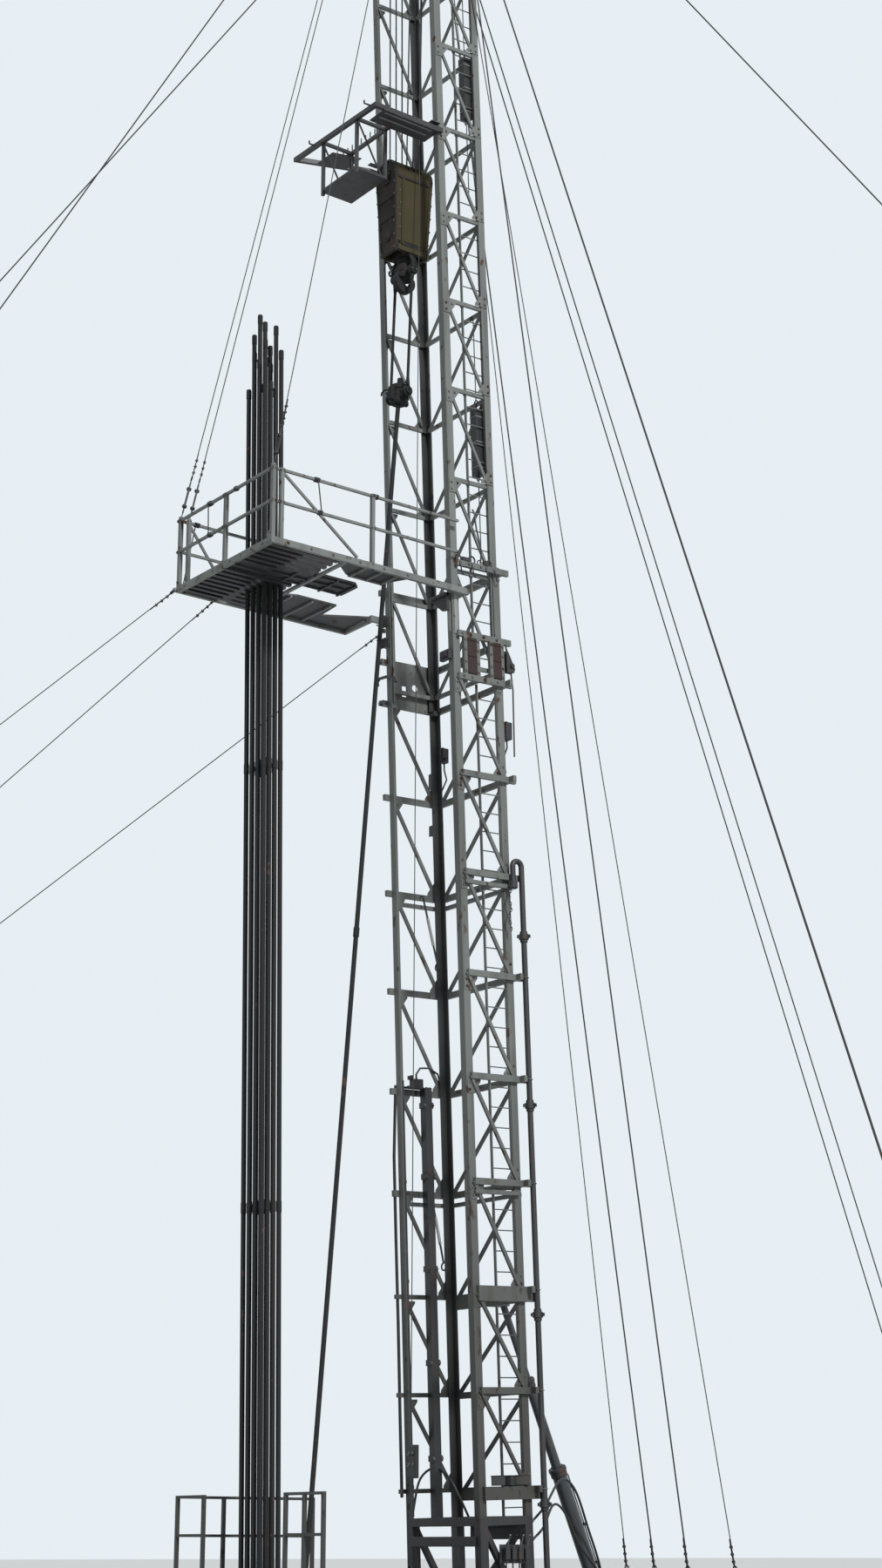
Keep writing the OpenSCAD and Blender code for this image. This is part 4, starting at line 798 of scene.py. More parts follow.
# side plates in front and behind: flanged rim, pin bosses with keeper plates, and bolts round the edge
for s in (-1, 1):
    way = y_axis * s

    def on_plate(x, z, off=0.0):
        """Point of this side plate's face: across, above the foot and off it."""
        return foot + Vector((x, 0, z)) + way * (half_y + off)

    block_dark += [ring_plate(block_edge(0.0), block_edge(0.03), on_plate(0, 0, max(s, 0) * 0.012), across,
        z_axis, 0.012), knob([(0.11, 0), (0.11, 0.018), (0.088, 0.026), (0.062, 0.026), (0.056, 0.044)],
        on_plate(0, lift), way, 28), knob([(0.08, 0), (0.08, 0.02), (0.046, 0.022), (0.04, 0.042)],
        on_plate(0, 0.3), way)]
    for z, half, off, wide, tall in ((lift - 0.135, 0.085, 0.01, 0.02, 0.045),
            (0.62, 0.21, 0.006, 0.014, 0.03), (0.98, 0.23, 0.006, 0.014, 0.03)):
        block_dark.append(bar(on_plate(-half, z, off), on_plate(half, z, off), wide, tall))
    spots = [(x, z, 0.012) for x, z in round_top(0.262, 0, 180, 20)]
    spots += [(side * (guard_x(h) - 0.022), h, 0.012) for h in (0.06, 0.28, 0.52, 0.76, 1.0, 1.22)
        for side in (-1, 1)]
    spots += [(x, z, 0.018) for x, z in round_top(0.095, 0, 300, 60)]
    block_bolts += [(on_plate(*spot), way) for spot in spots]
block_part("block_trim", block_trim)
block_part("block_panels", block_panels, bevel=0.003)
# rims, bosses and strips of block_dark take the side plates' dark brown painted shade
block_part("block_dark_trim", block_dark, block_painted_shade)
bolts("block_bolts", [(tucked(p), way) for p, way in block_bolts], "hoist", 0.014, 0.012)

# Hook: forged black steel. A swivel barrel with a spring housing and grease ring, a horn with a latch that
# closes its throat, and side arms that hold the pin of the elevator links with keeper plates.
hook_paint = painted_steel("hook_paint", (0.006, 0.006, 0.006), (0.009, 0.008, 0.007), 0.03, 0.85)
tube_steel = painted_steel("tube_steel", (0.006, 0.006, 0.007), (0.01, 0.008, 0.007), 0.0, 0.85)
finish_nodes(tube_steel, "hook", "elevator_links", "elevator", "hanging_stand", "racked_tubing")
pin_drop = 0.29


def at_foot(x, y, z):
    """Point measured from the foot of the block."""
    return foot + Vector((x, y, z))


hook_parts = [turned(mirrored([(0.149, 0.014), (0.158, 0.01)]), at_foot(0, 0, z), z_axis, 32)
    for z in (-0.255, -0.365)]
hook_parts.append(turned([(0.084, 0), (0.112, 0), (0.116, -0.012), (0.116, -0.05), (0.1, -0.07),
    (0.084, -0.07)], at_foot(0, 0, -0.02), z_axis, 32))
hook_ways = [spoke(across, y_axis, 36 * k) for k in range(10)]
hook_bolts = [(at_foot(0, 0, -0.31) + way * 0.15, way) for way in hook_ways]
for s in (-1, 1):
    hook_bolts += grid([s * 0.291], (-0.04, 0.04), [-pin_drop], across * s, at_foot)
    hook_parts.append(flat_bar(s * 0.294, (-0.06, 0.06), -pin_drop, 0.008, 0.03, at_foot))
    # arm edges, rounded by a welded bead
    hook_parts += [pipe([at_foot(s * 0.213, y, -0.02), at_foot(s * 0.29, y, -0.155),
        at_foot(s * 0.291, y, -0.02 - pin_drop)], 0.007, 6) for y in (-0.045, 0.045)]
# throat latch, its spring and the open loop beside the horn
hook_parts += [slab([(0.1, -0.42), (0.2, -0.33), (0.215, -0.345), (0.15, -0.5), (0.125, -0.505)],
    at_foot(-0.02, 0, 0), y_axis, z_axis, 0.04),
    disc(0.02, -0.075, 0.075, at_foot(0, 0.135, -0.44), across, 12),
    pipe(arc(at_foot(-0.3, -0.02, -0.1), across, z_axis, 0.085, -200, 110, 14), 0.018),
    pipe([at_foot(0.055, -0.1, -0.2), at_foot(0.075, -0.19, -0.33), at_foot(0.065, -0.2, -0.48)], 0.012)]
dark("hook_fittings", hook_parts, hook_paint, "hoist")
bolts("hook_bolts", hook_bolts, "hoist", 0.013, 0.01)

# Elevator links: two forged steel bars that hang from the hook's pin and carry the elevator. Each has
# upset eyes, with a collar where the eye runs into the shank.
lift_pin, link_top = Vector((0, -0.95829, 19.61177)), at_foot(0, 0, -pin_drop)
link_way = (lift_pin - link_top).normalized()
link_parts = []
for eye, way in [(start + across * s * 0.23, way) for s in (-1, 1)
        for start, way in ((link_top, link_way), (lift_pin, -link_way))]:
    link_parts += [turned([(0.0245, 0.088), (0.04, 0.078), (0.036, 0.13), (0.0245, 0.26)], eye, way, 20),
        turned(mirrored([(0.066, -0.03), (0.084, -0.03), (0.09, -0.018)]), eye, across, 28)]
dark("link_shoulders", link_parts, hook_paint, "hoist")

# Elevator: cast body in two hinged halves round the tubing, with a latch, a hinge pin, a worn bore ring and
# retaining bars that close the ears for the links.
stand_lean = Matrix.Rotation(math.radians(-4.7), 4, "X")
stand_up, stand_back = stand_lean @ z_axis, stand_lean @ y_axis


def on_stand(x, y, z):
    """Point measured from the links' lower pin in the tilted elevator."""
    return lift_pin + stand_lean @ Vector((x, y, z))


parts = [turned(mirrored([(0.124, 0.012), (0.132, 0.008)]), on_stand(0, 0, h), stand_up, 32)
    for h in (-0.13, -0.03, 0.07)]
parts.append(turned([(0.042, 0.16), (0.12, 0.16), (0.112, 0.176), (0.06, 0.176), (0.042, 0.168)],
    on_stand(0, 0, 0), stand_up, 32))
parts += [disc(0.046, -0.02, 0.02, on_stand(0, 0.15, z), stand_up, 16, 0.034) for z in (-0.1, 0, 0.1)]
parts += [knob([(0.022, 0), (0.022, 0.02), (0.012, 0.03)], on_stand(0, 0.15, 0.12), stand_up, 12),
    pipe([on_stand(-0.045, -0.165, 0.06), on_stand(-0.1, -0.215, 0.06), on_stand(-0.17, -0.225, 0.03),
    on_stand(-0.2, -0.21, -0.01)], 0.014), flat_bar((-0.05, 0.05), -0.172, 0, 0.04, 0.13, on_stand),
    disc(0.016, -0.125, 0.125, on_stand(0.052, -0.185, -0.005), stand_up, 12)]
for s in (-1, 1):
    parts += [disc(0.058, 0, 0.022, on_stand(s * 0.268, 0, 0), across * s, 20, 0.031),
        disc(0.062, 0, 0.018, on_stand(s * 0.178, 0, 0), across * s, 20, 0.031),
        pipe([on_stand(s * 0.15, -0.062, 0.05), on_stand(s * 0.2, -0.082, 0.1),
        on_stand(s * 0.27, -0.07, 0.13), on_stand(s * 0.292, -0.02, 0.1), on_stand(s * 0.292, 0, 0.03)],
        0.011)]
dark("elevator_fittings", parts, hook_paint, "hoist")
bolts("elevator_bolts", grid((-0.15, 0.15), [-0.055], (-0.06, 0.03), -stand_back, on_stand), "hoist",
    0.014)


# Tubing board: a pale angle frame with bolted corners, chequer plate gangways stiffened from below, flat
# finger bars with drop latches, and square pipe rails lashed with tie rope.
board_paint = painted_steel("board_paint", (0.175, 0.19, 0.18), (0.085, 0.083, 0.078), 0.05)
deck_paint = painted_steel("deck_paint", (0.03, 0.032, 0.035), (0.024, 0.021, 0.019), 0.05)
finish_nodes(board_paint, "tubing_board_frame", "tubing_board_rails")
finish_nodes(deck_paint, "tubing_board_deck", "rod_basket_tray", "tubing_board_fingers")


def inside(p, outline):
    """True where the point lies inside the outline."""
    hit = False
    for (x0, y0), (x1, y1) in zip(outline, outline[1:] + outline[:1]):
        if (y0 > p[1]) != (y1 > p[1]) and p[0] < (x1 - x0) * (p[1] - y0) / (y1 - y0) + x0:
            hit = not hit
    return hit


def treads(outline, z, pitch, edge=0.03, hole=(0, 0, 0)):
    """Raised lozenges of chequer plate, alternately turned, over an outline but for a hole (x, y, radius)."""
    shapes = []
    (x0, x1), (y0, y1) = [(min(c), max(c)) for c in zip(*outline)]
    for i in range(int((x1 - x0) / pitch) + 1):
        for j in range(int((y1 - y0) / pitch) + 1):
            x, y = x0 + pitch * (i + 0.5), y0 + pitch * (j + 0.5)
            if not all(inside((x + dx, y + dy), outline) for dx in (-edge, edge) for dy in (-edge, edge)):
                continue
            if math.hypot(x - hole[0], y - hole[1]) < hole[2]:
                continue
            turn = 45 if (i + j) % 2 else -45
            along, side = spoke(across, y_axis, turn) * pitch * 0.32, spoke(y_axis, -across,
                turn) * pitch * 0.09
            c = Vector((x, y, z))
            low = [c - along, c - side, c + along, c + side]
            high = [c + (p - c) * 0.7 + z_axis * 0.0022 for p in low]
            shapes.append((low + high, [(3, 2, 1, 0), (4, 5, 6, 7)] +
                [(k, (k + 1) % 4, (k + 1) % 4 + 4, k + 4) for k in range(4)]))
    return shapes


board_z, deck_z = 16.0, 16.08
plates = [rectangle(-1.64, 0.945, -3.96, -3.3),
    [(-0.3625, -3.3), (0.2025, -3.3), (0.2025, -1.92), (0.0825, -1.8), (-0.3625, -1.8)],
    [(0.945, -2.65), (0.765, -2.65), (0.445, -2.28), (0.445, -1.6), (0.945, -1.35)],
    [(-1.64, -2.65), (-0.9, -2.65), (-0.78, -2.35), (-0.78, -1.6), (-1.3, -1.55), (-0.925, -0.88),
    (-1.64, -0.84)]]
dark("board_treads", [tread for outline in plates for tread in treads(outline, deck_z, 0.075)], deck_paint)

# Flat bars stitched under the plates: pale ones at the two ends, seen from the ground as light strips
pale_bars = [flat_bar(x, (-3.95, -3.32), 16.035, 0.035, 0.03) for x in (-1.5, -1.2, -0.9, 0.7)]
pale_bars += [flat_bar((0.46, 0.935), y, 16.032, 0.03, 0.034) for y in (-2.22, -1.92, -1.63)]
pale_bars += [flat_bar(0.47, (-2.26, -1.64), 16.034, 0.028, 0.03)]
pale_bars += [flat_bar((-1.63, -0.8), y, 16.032, 0.03, 0.034) for y in (-2.45, -2.05, -1.7)]
dark_bars = [flat_bar(x, (-3.95, -3.32), 16.035, 0.035, 0.03) for x in (-0.6, -0.2, 0.06, 0.4)]
dark_bars += [flat_bar(x, (-3.28, -1.96), 16.036, 0.03, 0.028) for x in (-0.3, -0.08, 0.14)]
dark_bars += [flat_bar((-0.355, 0.195), y, 16.03, 0.03, 0.03) for y in (-2.95, -2.25, -1.9)]
dark("board_stiffeners", pale_bars, board_paint)
dark("gangway_stiffeners", dark_bars, deck_paint)

latches, latch_pins = [], []
for x in [-1.52 + 0.16 * i for i in range(8)] + [0.24, 0.4, 0.56, 0.72, 0.88]:
    for y in (-2.86, -2.99, -3.12):
        latches += [flat_bar((x - 0.03, x + 0.03), y, 16.056, 0.018, 0.01),
            flat_bar(x + 0.024, (y - 0.02, y + 0.02), 16.06, 0.012, 0.02)]
        latch_pins.append(((x - 0.016, y, 16.061), z_axis))
    latches.append(flat_bar((x - 0.034, x + 0.034), -2.755, 16.056, 0.026, 0.012))
dark("finger_latches", latches, deck_paint)
bolts("latch_pins", latch_pins, head=0.007, tall=0.006)

# Corner plates and bolts of the frame, feet and rail clips of the posts
corner_plates, corner_bolts = [], []
for x, s in ((-1.695, 1), (1.0, -1)):
    corner_plates.append(slab([(0, 0), (0.16, 0), (0.16, 0.05), (0.07, 0.2), (0, 0.2)],
        (x, -4.021, board_z), across * s, z_axis, 0.006 * s))
    corner_bolts += [((x + s * a, -4.025, board_z + b), -y_axis)
        for a, b in ((0.03, 0.03), (0.12, 0.03), (0.03, 0.16))]
rails = (17.205, 16.68)
for x in (-1.7, -0.37, 0.945):
    corner_plates += [flat_bar((x - 0.012, x + 0.072), -4.022, z, 0.01, 0.056) for z in rails]
    corner_bolts += grid((x, x + 0.06), [-4.026], rails, -y_axis, on_ground)
for y in (-4.02, -3.87, -2.19):
    corner_plates += [flat_bar(1.003, (y - 0.012, y + 0.072), z, 0.01, 0.056) for z in rails]
    corner_bolts += grid([1.007], (y, y + 0.06), rails, across, on_ground)
corner_bolts += grid([1.005], (-3.72, -3.3, -2.9, -2.4, -1.95, -1.5), [16.05], across, on_ground)
corner_bolts += grid((-1.45, -1.05, -0.65, -0.15, 0.15, 0.45, 0.75), [-4.02], [16.05], -y_axis, on_ground)
make("board_corner_plates", corner_plates, board_paint)
bolts("board_bolts", corner_bolts)


def lashing(place, axis, turns, radius=0.036, rope=0.009):
    """Tie rope wound tight round a rail."""
    side = axis.orthogonal().normalized()
    return pipe([Vector(place) + axis * (k / 8 - turns / 2) * rope * 2.1 +
        spoke(side, axis.cross(side), 45 * k) * radius for k in range(turns * 8 + 1)], rope, 6)


lashings = [lashing(place, axis, turns) for place, axis, turns in (((-0.79, -4.0, 17.21), across, 5),
    ((-0.77, -4.0, 16.685), across, 4), ((-0.04, -4.0, 17.21), across, 3),
    ((0.975, -3.206, 17.21), y_axis, 5), ((0.975, -3.14, 16.685), y_axis, 4),
    ((0.975, -2.12, 17.21), y_axis, 6), ((-1.67, -3.7, 17.21), y_axis, 5),
    ((-1.67, -3.2, 16.685), y_axis, 3))]
make("rail_lashings", lashings, dark_paint)
straps = [pipe(ends, 0.01, 6) for ends in (((-0.79, -4.036, 17.2), (-0.77, -4.036, 16.7)),
    ((1.018, -3.206, 17.2), (1.018, -3.14, 16.7)), ((-1.712, -3.7, 17.2), (-1.712, -3.9, 16.12)))]
make("rail_tie_ropes", straps, dark_paint)

# Rod basket: clevis plates where the side bars meet the legs, rod pegs along the inner bar, slats and stays
# of the tray, and a plank with battens. Flat and round bar, welded.
basket = [flat_bar(x, (-0.98, -0.8), z, 0.1, 0.01) for x in (-0.862, 0.862) for z in (24.085, 24.235)]
basket += [knob([(0.011, 0), (0.011, 0.085), (0.006, 0.1)], (-0.98 + 0.13 * i, -1.525, 24.185), z_axis, 10)
    for i in range(11)]
basket += [pipe([(x, -2.13, 24.16), (x, -2.24, 24.16), (x, -2.24, 24.21)], 0.016) for x in (-0.82, 0.76)]
basket += [flat_bar(-0.52 + 0.155 * i, (-2.08, -1.54), 23.212, 0.03, 0.012) for i in range(6)]
basket += [flat_bar(x, (-2.08, -1.6), (24.11, 23.24), 0.022, 0.022) for x in (-0.63, 0.35)]
dark("rod_basket_fittings", basket)
bolts("rod_basket_bolts", grid((-0.89, 0.89), (-0.95, -0.87), [24.24], z_axis, on_ground))
dark("plank_battens", [flat_bar(x, (-1.9, -0.95), 24.062, 0.03, 0.01) for x in (0.7, 0.86)], board_paint)
dark("plank_treads", treads(rectangle(0.62, 0.92, -1.94, -0.86), 24.08, 0.06), deck_paint)

# Racked tubing: thread protectors on the boxes at the top, make-up marks at each coupling and a wooden sill
# bar under the pins. The tubes are hot rolled, almost black, and lean on the fingers.
sill_z = 1.25


def rack_line(z):
    """Middle of the rack at this height: it leans from the sill to the board."""
    t = (z - sill_z) / (board_z - sill_z)
    return Vector((-0.5 - 0.22 * t, -2.9 - 0.12 * t, z))


rack_up = (rack_line(board_z) - rack_line(sill_z)).normalized()
collars = []
for c, r in [(c, r) for c in range(4) for r in range(4)]:
    shift = Vector(((c - 1.5) * 0.16, (r - 1.5) * 0.1, 0))
    tube_top = 19.45 + 0.2 * ((3 * c + 5 * r) % 7)
    for z, reach in ((tube_top - 0.16, 0.15), (6.3, 0.16), (13.0, 0.16)):
        collars.append(turned([(0.03, 0), (0.0415, 0.006), (0.0415, reach - 0.006), (0.03, reach)],
            rack_line(z) + shift, rack_up, 16))
    collars.append(knob([(0.04, 0), (0.043, 0.02), (0.043, 0.09), (0.03, 0.1)],
        rack_line(sill_z + 0.012) + shift, rack_up, 16))
dark("tubing_collars", collars, tube_steel)
dark("tubing_sill", [flat_bar((-0.95, -0.05), y, sill_z + 0.012, 0.06, 0.024) for y in (-3.04, -2.76)],
    deck_paint)

# Line weights: cast iron bars hung in the mast on rods, each with three light bands and a lifting eye. The
# bands are clamped flats; everything is drawn from bar.
bands, rods = [], []
for low in (18.228, 24.646):
    for h in [low + 1.15 * share for share in (0.12, 0.5, 0.88)]:
        bands += [mast_bar((0.606, 0.756), v, h, 0.008, 0.014) for v in (0.704, 0.856)]
        bands += [mast_bar(u, (0.7, 0.86), h, 0.008, 0.014) for u in (0.605, 0.757)]
    weight_top, weight_foot = on_mast(0.681, 0.78, low + 1.15), on_mast(0.681, 0.78, low)
    rods += [pipe([weight_top - up * 0.01, weight_top + up * 0.1], 0.014),
        pipe(arc(weight_top + up * 0.135, across, up, 0.038, 0, 360, 14), 0.011),
        pipe([weight_top + up * 0.17, on_mast(0.681, 0.78, low + 2.75)], 0.009),
        pipe(arc(weight_foot - up * 0.045, across, up, 0.034, 0, 360, 14), 0.011),
        pipe([weight_foot - up * 0.08, on_mast(0.681, 0.78, low - 1.35)], 0.009)]
dark("weight_bands", bands, worn_white)
dark("weight_rods", rods)

# Guy ropes: each end turns round a thimble and is held by three clips; the ground ends are drawn tight by
# forged turnbuckles shackled to the anchor eyes. Rods, nuts and rope are plain dark steel.
crown_h, front_eye, back_eye = 31.359, -0.055, 1.022
crown_guys = (((-0.88, front_eye), (-10.0, -16.6, 0.3)), ((-0.88, back_eye), (-13.0, -19.5, 0.3)),
    ((0.88, front_eye), (18.0, -8.0, 0.3)), ((0.88, back_eye), (18.9, 12.0, 0.3)),
    ((-0.71, back_eye), (-4.4, 16.0, 0.3)), ((-0.56, back_eye), (-4.0, 16.0, 0.3)),
    ((0.88, 0.44), (0.925, 4.0, 0.42)), ((0.88, 0.12), (0.83, 5.1, 0.42)),
    ((-0.41, back_eye), (-0.845, 4.9, 0.42)), ((-0.26, back_eye), (-0.785, 4.25, 0.42)))
hangers = ((-0.71, (-1.67, -3.99, 17.25)), (-0.56, (-1.67, -3.84, 17.25)), (0.71, (0.975, -3.99, 17.25)))
lines = [(on_mast(*eye, crown_h), Vector(low), 0.75) for eye, low in crown_guys]
lines += [(Vector((-1.715, -4.035, 16.05)), Vector((-13.4, -18.9, 0.3)), 0.75),
    (Vector((-1.72, -3.3, 16.05)), Vector((-9.6, -16.9, 0.3)), 0.75),
    (on_mast(-0.905, -0.02, 15.9), Vector((-10.4, -16.3, 0.3)), 0.75)]
lines += [(on_mast(u, front_eye, crown_h), Vector(low), 0.55) for u, low in hangers]
rope_fittings, clip_nuts = [], []


def rope_end(eye, along):
    """Thimble at the eye, three clips along the rope and its tail."""
    side = along.cross((0, 0, 1)).normalized()
    other = along.cross(side)
    rope_fittings.append(pipe(arc(eye + along * 0.055, along, side, 0.04, 0, 360, 14), 0.011, 6))
    for spot in [eye + along * (0.16 + 0.11 * k) for k in range(3)]:
        rope_fittings.append(bar(spot - along * 0.02 + other * 0.01, spot + along * 0.02 + other * 0.01,
            0.052, 0.018))
        rope_fittings.append(pipe(arc(spot, side, -other, 0.019, 0, 180, 6), 0.005, 6))
        clip_nuts.extend((spot + side * 0.019 * s + other * 0.018, other) for s in (-1, 1))
    rope_fittings.append(pipe([eye + along * (0.1 + 0.08 * k) + side * 0.02 for k in range(6)], 0.008, 6))


def turnbuckle(start, along, length):
    """Open body between two screwed rods on the line from start."""
    side = along.cross((0, 0, 1)).normalized()
    a, b = start + along * 0.12, start + along * (length - 0.12)
    rope_fittings.extend([pipe([start, a + along * 0.08], 0.013),
        pipe([b - along * 0.08, start + along * length], 0.013)])
    rope_fittings.extend(bar(a + side * s, b + side * s, 0.014, 0.026) for s in (-0.03, 0.03))
    rope_fittings.extend(knob([(0.036, -0.02), (0.04, 0), (0.036, 0.02)], p, along, 16) for p in (a, b))


for high, low, reach in lines:
    along = (low - high).normalized()
    rope_end(high, along)
    turnbuckle(low - along * 0.1, -along, reach)
    rope_end(low - along * (reach + 0.12), -along)
make("rope_fittings", rope_fittings, rope_steel)
bolts("rope_clip_nuts", clip_nuts, head=0.008, tall=0.01)

# Two hanging rods with pale sleeves and hooks, tied to girts of the lower section. They are plain steel rod,
# stretched between the places they are tied to.
rod_white = painted_steel("rod_white", (0.42, 0.43, 0.42), (0.16, 0.15, 0.13), 0.03)
hang_dark, hang_pale = [], []
for v0, v1, high, low in ((0.554, 0.8, 11.5, 10.46), (0.564, 0.758, 6.8, 5.79)):
    start, end = on_mast(-0.8, v0, high), on_mast(-0.8, v1, low)
    sleeve = [start.lerp(end, 0.3), start.lerp(end, 0.72)]
    hang_dark += [pipe([on_mast(-0.872, v0, high + 0.04), on_mast(-0.8, v0, high + 0.04), start], 0.012),
        pipe([start, sleeve[0]], 0.016), pipe([sleeve[1], end], 0.016),
        pipe(arc(end - up * 0.05, across, up, 0.055, 90, 330, 12), 0.013)]
    hang_pale.append(pipe(sleeve, 0.024, 10))
make("hanging_rods", hang_dark, dark_paint)
make("hanging_rod_sleeves", hang_pale, rod_white)

# Base and work floor: black skid of rolled beams on screw jacks, chequer plate floor with a drip bowl round
# the well, control valves and hydraulic hoses to the raising ram. Plates are welded, flanges bolted.
floor_top = 1.25
dark("floor_treads", treads(rectangle(-1.9, 1.9, -3.5, -0.12), floor_top, 0.085, hole=(0, well_y, 0.33)),
    deck_paint)
bowl = [(0.232, 0), (0.3, 0), (0.3, 0.01), (0.25, 0.018), (0.25, 0.048), (0.232, 0.048), (0.232, 0)]
floor_trim = [turned(bowl, (0, well_y, floor_top + 0.002), z_axis, 40)]
floor_bolts = [(p, z_axis) for p in arc((0, well_y, floor_top + 0.012), across, y_axis, 0.276, 0, 330, 11)]
floor_bolts += grid((-1.6, -0.8, 0.8, 1.6), (-3.42, -2.46, -1.66, -0.2), [floor_top + 0.002], z_axis,
    on_ground)
for x, y, s in [(s * 1.85, y, s) for s in (-1, 1) for y in (-3.45, -0.17)]:
    knee = 0.22 if y < -1 else -0.22
    floor_trim += [flat_bar((x - 0.1, x + 0.1), y, 0.012, 0.2, 0.02),
        flat_bar(x, (y + knee * 1.6, y + knee * 0.15), (1.09, 0.78), 0.05, 0.05),
        flat_bar((x - s * 0.36, x - s * 0.04), y, (1.09, 0.78), 0.05, 0.05)]
    floor_bolts += grid((x - 0.075, x + 0.075), (y - 0.075, y + 0.075), [0.022], z_axis, on_ground)
dark("floor_trim", floor_trim)
bolts("floor_bolts", floor_bolts)

jack_parts, jack_bolts = [], []
for x, y, s in [(s * 1.095, y, s) for s in (-1, 1) for y in (0.25, 4.8)]:
    jack_parts += [turned([(0.04, 0), (0.046, 0.003), (0.04, 0.006), (0.034, 0.003)],
        (x, y, 0.04 + 0.0092 * k), z_axis, 16) for k in range(14)]
    jack_parts += [turned([(0.036, 0), (0.046, 0.003), (0.036, 0.006)], (x, y, 0.6 + 0.009 * k), z_axis, 16)
        for k in range(5)]
    jack_parts += [turned([(0.038, 0), (0.09, 0), (0.095, 0.012), (0.09, 0.04), (0.038, 0.04)],
        (x, y, 0.5905), z_axis, 20), turned([(0.04, 0), (0.075, 0), (0.06, 0.055), (0.04, 0.055)],
        (x, y, 0.03), z_axis, 20)]
    cap, pad = Vector((x, y, 0.612)), Vector((x, y, 0.05))
    for handle, rib in [(spoke(across, y_axis, 45 + 90 * k), spoke(across, y_axis, 90 * k))
            for k in range(4)]:
        jack_parts += [pipe([cap + handle * 0.08, cap + handle * 0.17], 0.009),
            bar(pad + rib * 0.05, pad + rib * 0.155, 0.012, 0.036)]
    jack_bolts += grid([x + s * 0.07], (y - 0.045, y + 0.045), (0.26, 0.34), across * s, on_ground)
dark("jack_screws", jack_parts)
dark("skid_web_ribs",
    [flat_bar((s * 0.805 + side * 0.01, s * 0.805 + side * 0.094), 0.55 + 0.48 * k, 0.2, 0.012, 0.358)
    for s in (-1, 1) for k in range(9) for side in (-1, 1)])
jack_bolts += grid((-0.85, -0.76, 0.76, 0.85), (0, 0.9, 1.8, 2.7, 3.6, 4.5, 5.2), [0.402], z_axis,
    on_ground)
bolts("skid_bolts", jack_bolts)

# Control valves: a bank of four lever valves on the support frame, with steel lines down from each body and
# a ball on each lever. The bodies are cast, and bolted to one plate.
valve_bank, levers = [], []
for k in range(4):
    def at_valve(x, z):
        return Vector((0.95 + x, 0.35 + 0.12 * k, 1.55 + z))

    valve_bank += [bar(at_valve(-0.05, 0), at_valve(0.05, 0), 0.085, 0.15),
        pipe([at_valve(0, -0.07), at_valve(0, -0.22), at_valve(-0.06, -0.3)], 0.011)]
    levers += [pipe([at_valve(0.03, 0.07), at_valve(0.06, 0.17), at_valve(0.09, 0.24)], 0.008),
        turned([(0, -0.016), (0.014, -0.01), (0.018, 0), (0.014, 0.01), (0, 0.016)], at_valve(0.095, 0.255),
        z_axis, 12)]
valve_bank.append(flat_bar(0.895, (0.27, 0.79), 1.55, 0.012, 0.26))
dark("control_valves", valve_bank, bevel=0.003)
dark("valve_levers", levers, bolt_steel)


# Hydraulic hoses: smooth black rubber tubes with swaged ends, free between their fittings. The curves follow
# the loops in the photo beside the ram and behind the left leg.
def smooth(points, steps=7):
    """Curve through all the points."""
    points = [Vector(p) for p in points]
    ends = [points[0] * 2 - points[1]] + points + [points[-1] * 2 - points[-2]]
    path = []
    for a, b, c, d in zip(ends, ends[1:], ends[2:], ends[3:]):
        for t in [k / steps for k in range(steps)]:
            path.append(0.5 * (2 * b + (c - a) * t + (2 * a - 5 * b + 4 * c - d) * t * t +
                (3 * b - a - 3 * c + d) * t ** 3))
    return path + [points[-1]]


rubber = painted_steel("rubber", (0.01, 0.01, 0.011), (0.022, 0.018, 0.015), 0.0, 0.5)
hose_ends = []
hoses = {"ram_hose_a": [on_mast(0.82, 0.985, 1.95), (0.8, 1.2, 2.22), (0.66, 1.62, 2.6), (0.46, 2.06, 2.46),
    (0.28, 2.46, 1.9), (0.19, 2.74, 1.4), (0.118, 2.856, 1.05)],
    "ram_hose_b": [on_mast(0.82, 0.985, 1.7), (0.78, 1.18, 1.92), (0.6, 1.52, 2.24), (0.4, 1.9, 2.14),
    (0.26, 2.28, 1.7), (0.18, 2.66, 1.36), (0.118, 2.79, 1.22)],
    "column_hose": [on_mast(-0.9, 0.06, 1.75), (-0.99, 0.14, 2.2), (-1.02, 0.28, 2.62), (-0.84, 0.42, 2.78),
    (-0.58, 0.5, 2.62), (-0.44, 0.6, 2.32), on_mast(-0.4, 0.815, 2.0)],}
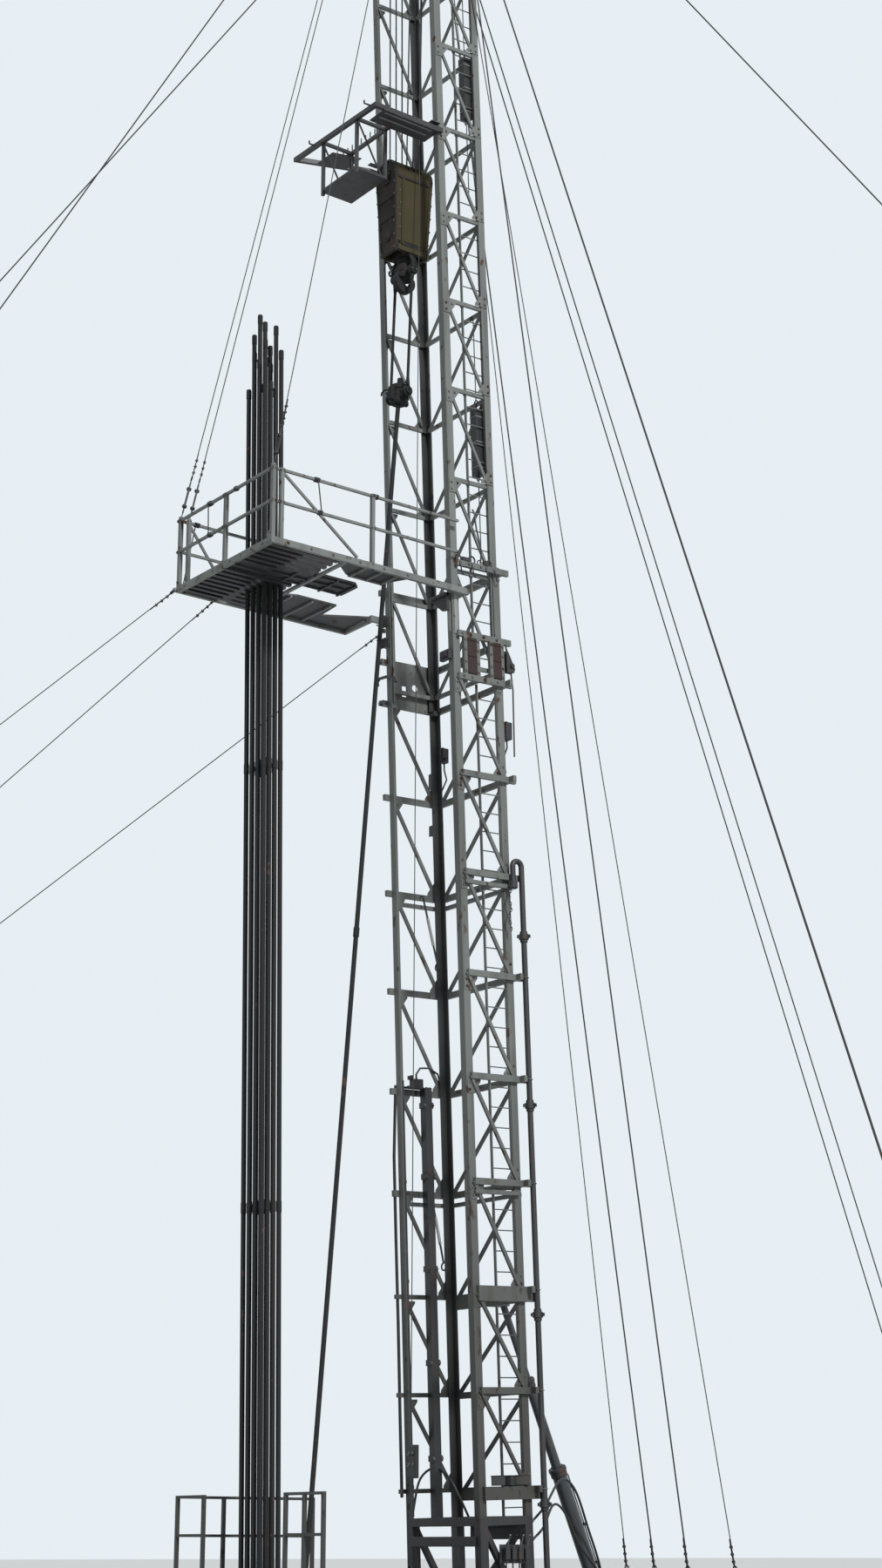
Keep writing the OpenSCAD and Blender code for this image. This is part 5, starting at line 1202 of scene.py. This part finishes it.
for name, points in hoses.items():
    path = smooth(points)
    hose = dark(name, [pipe(path, 0.018, 12)], rubber)
    long = sum((b - a).length for a, b in zip(path, path[1:]))
    swaged = [(0, -0.05), (0.02, -0.05), (0.024, -0.03), (0.024, 0), (0.021, 0.055), (0, 0.055)]
    hose_ends += [turned(swaged, end, after - end, 12)
        for end, after in ((path[0], path[1]), (path[-1], path[-2]))]
dark("hose_fittings", hose_ends, bolt_steel)
dark("hose_beams",
    [mast_bar((-0.6, 0.6), 0.99, 1.85, 0.05, 0.26), mast_bar((-0.78, 0.78), -0.02, 1.72, 0.04, 0.14)],
    bevel=0.003)

# Tool boxes on the girt and a gauge panel beside the left leg. The boxes are folded steel sheet with flat
# lids, and the gauges have turned cases on the panel.
boxes = [mast_bar((-0.74, -0.54), -0.035, 2.86, 0.07, 0.48),
    mast_bar((-0.73, -0.55), -0.074, 2.86, 0.008, 0.44)]
for v, turn in ((0.34, 0.05), (0.56, -0.04), (0.78, 0.06)):
    boxes += [mast_bar((0.9 - turn, 0.9 + turn), (v - 0.08, v + 0.08), 2.545, 0.12, 0.13),
        mast_bar((0.9 - turn, 0.9 + turn), (v - 0.09, v + 0.09), 2.615, 0.14, 0.012)]
dark("girt_boxes", boxes, bevel=0.004)
case = [(0, 0), (0.034, 0), (0.034, 0.016), (0.027, 0.016), (0.027, 0.01), (0, 0.01)]
dark("panel_gauges", [turned(case, on_mast(u, -0.078, h), -y_axis, 20) for h in (2.98, 2.82)
    for u in (-0.685, -0.595)], bolt_steel)

# Winch line: one part of thin wire rope, drawn tight from the crown to a pad eye in the floor. Each end
# is turned round a thimble.
line_top, line_foot = Vector((0.47, well_y, 31.28)), Vector((0.29, well_y, 1.3))
line_way = (line_foot - line_top).normalized()
winch = [pipe([line_top.lerp(line_foot, k / 40) for k in range(41)], 0.0075)]
winch += [pipe(arc(eye, across, up, 0.036, 0, 360, 14), 0.01)
    for eye in (line_top + line_way * 0.05, line_foot - line_way * 0.05)]
make("winch_line", winch, rope_steel)
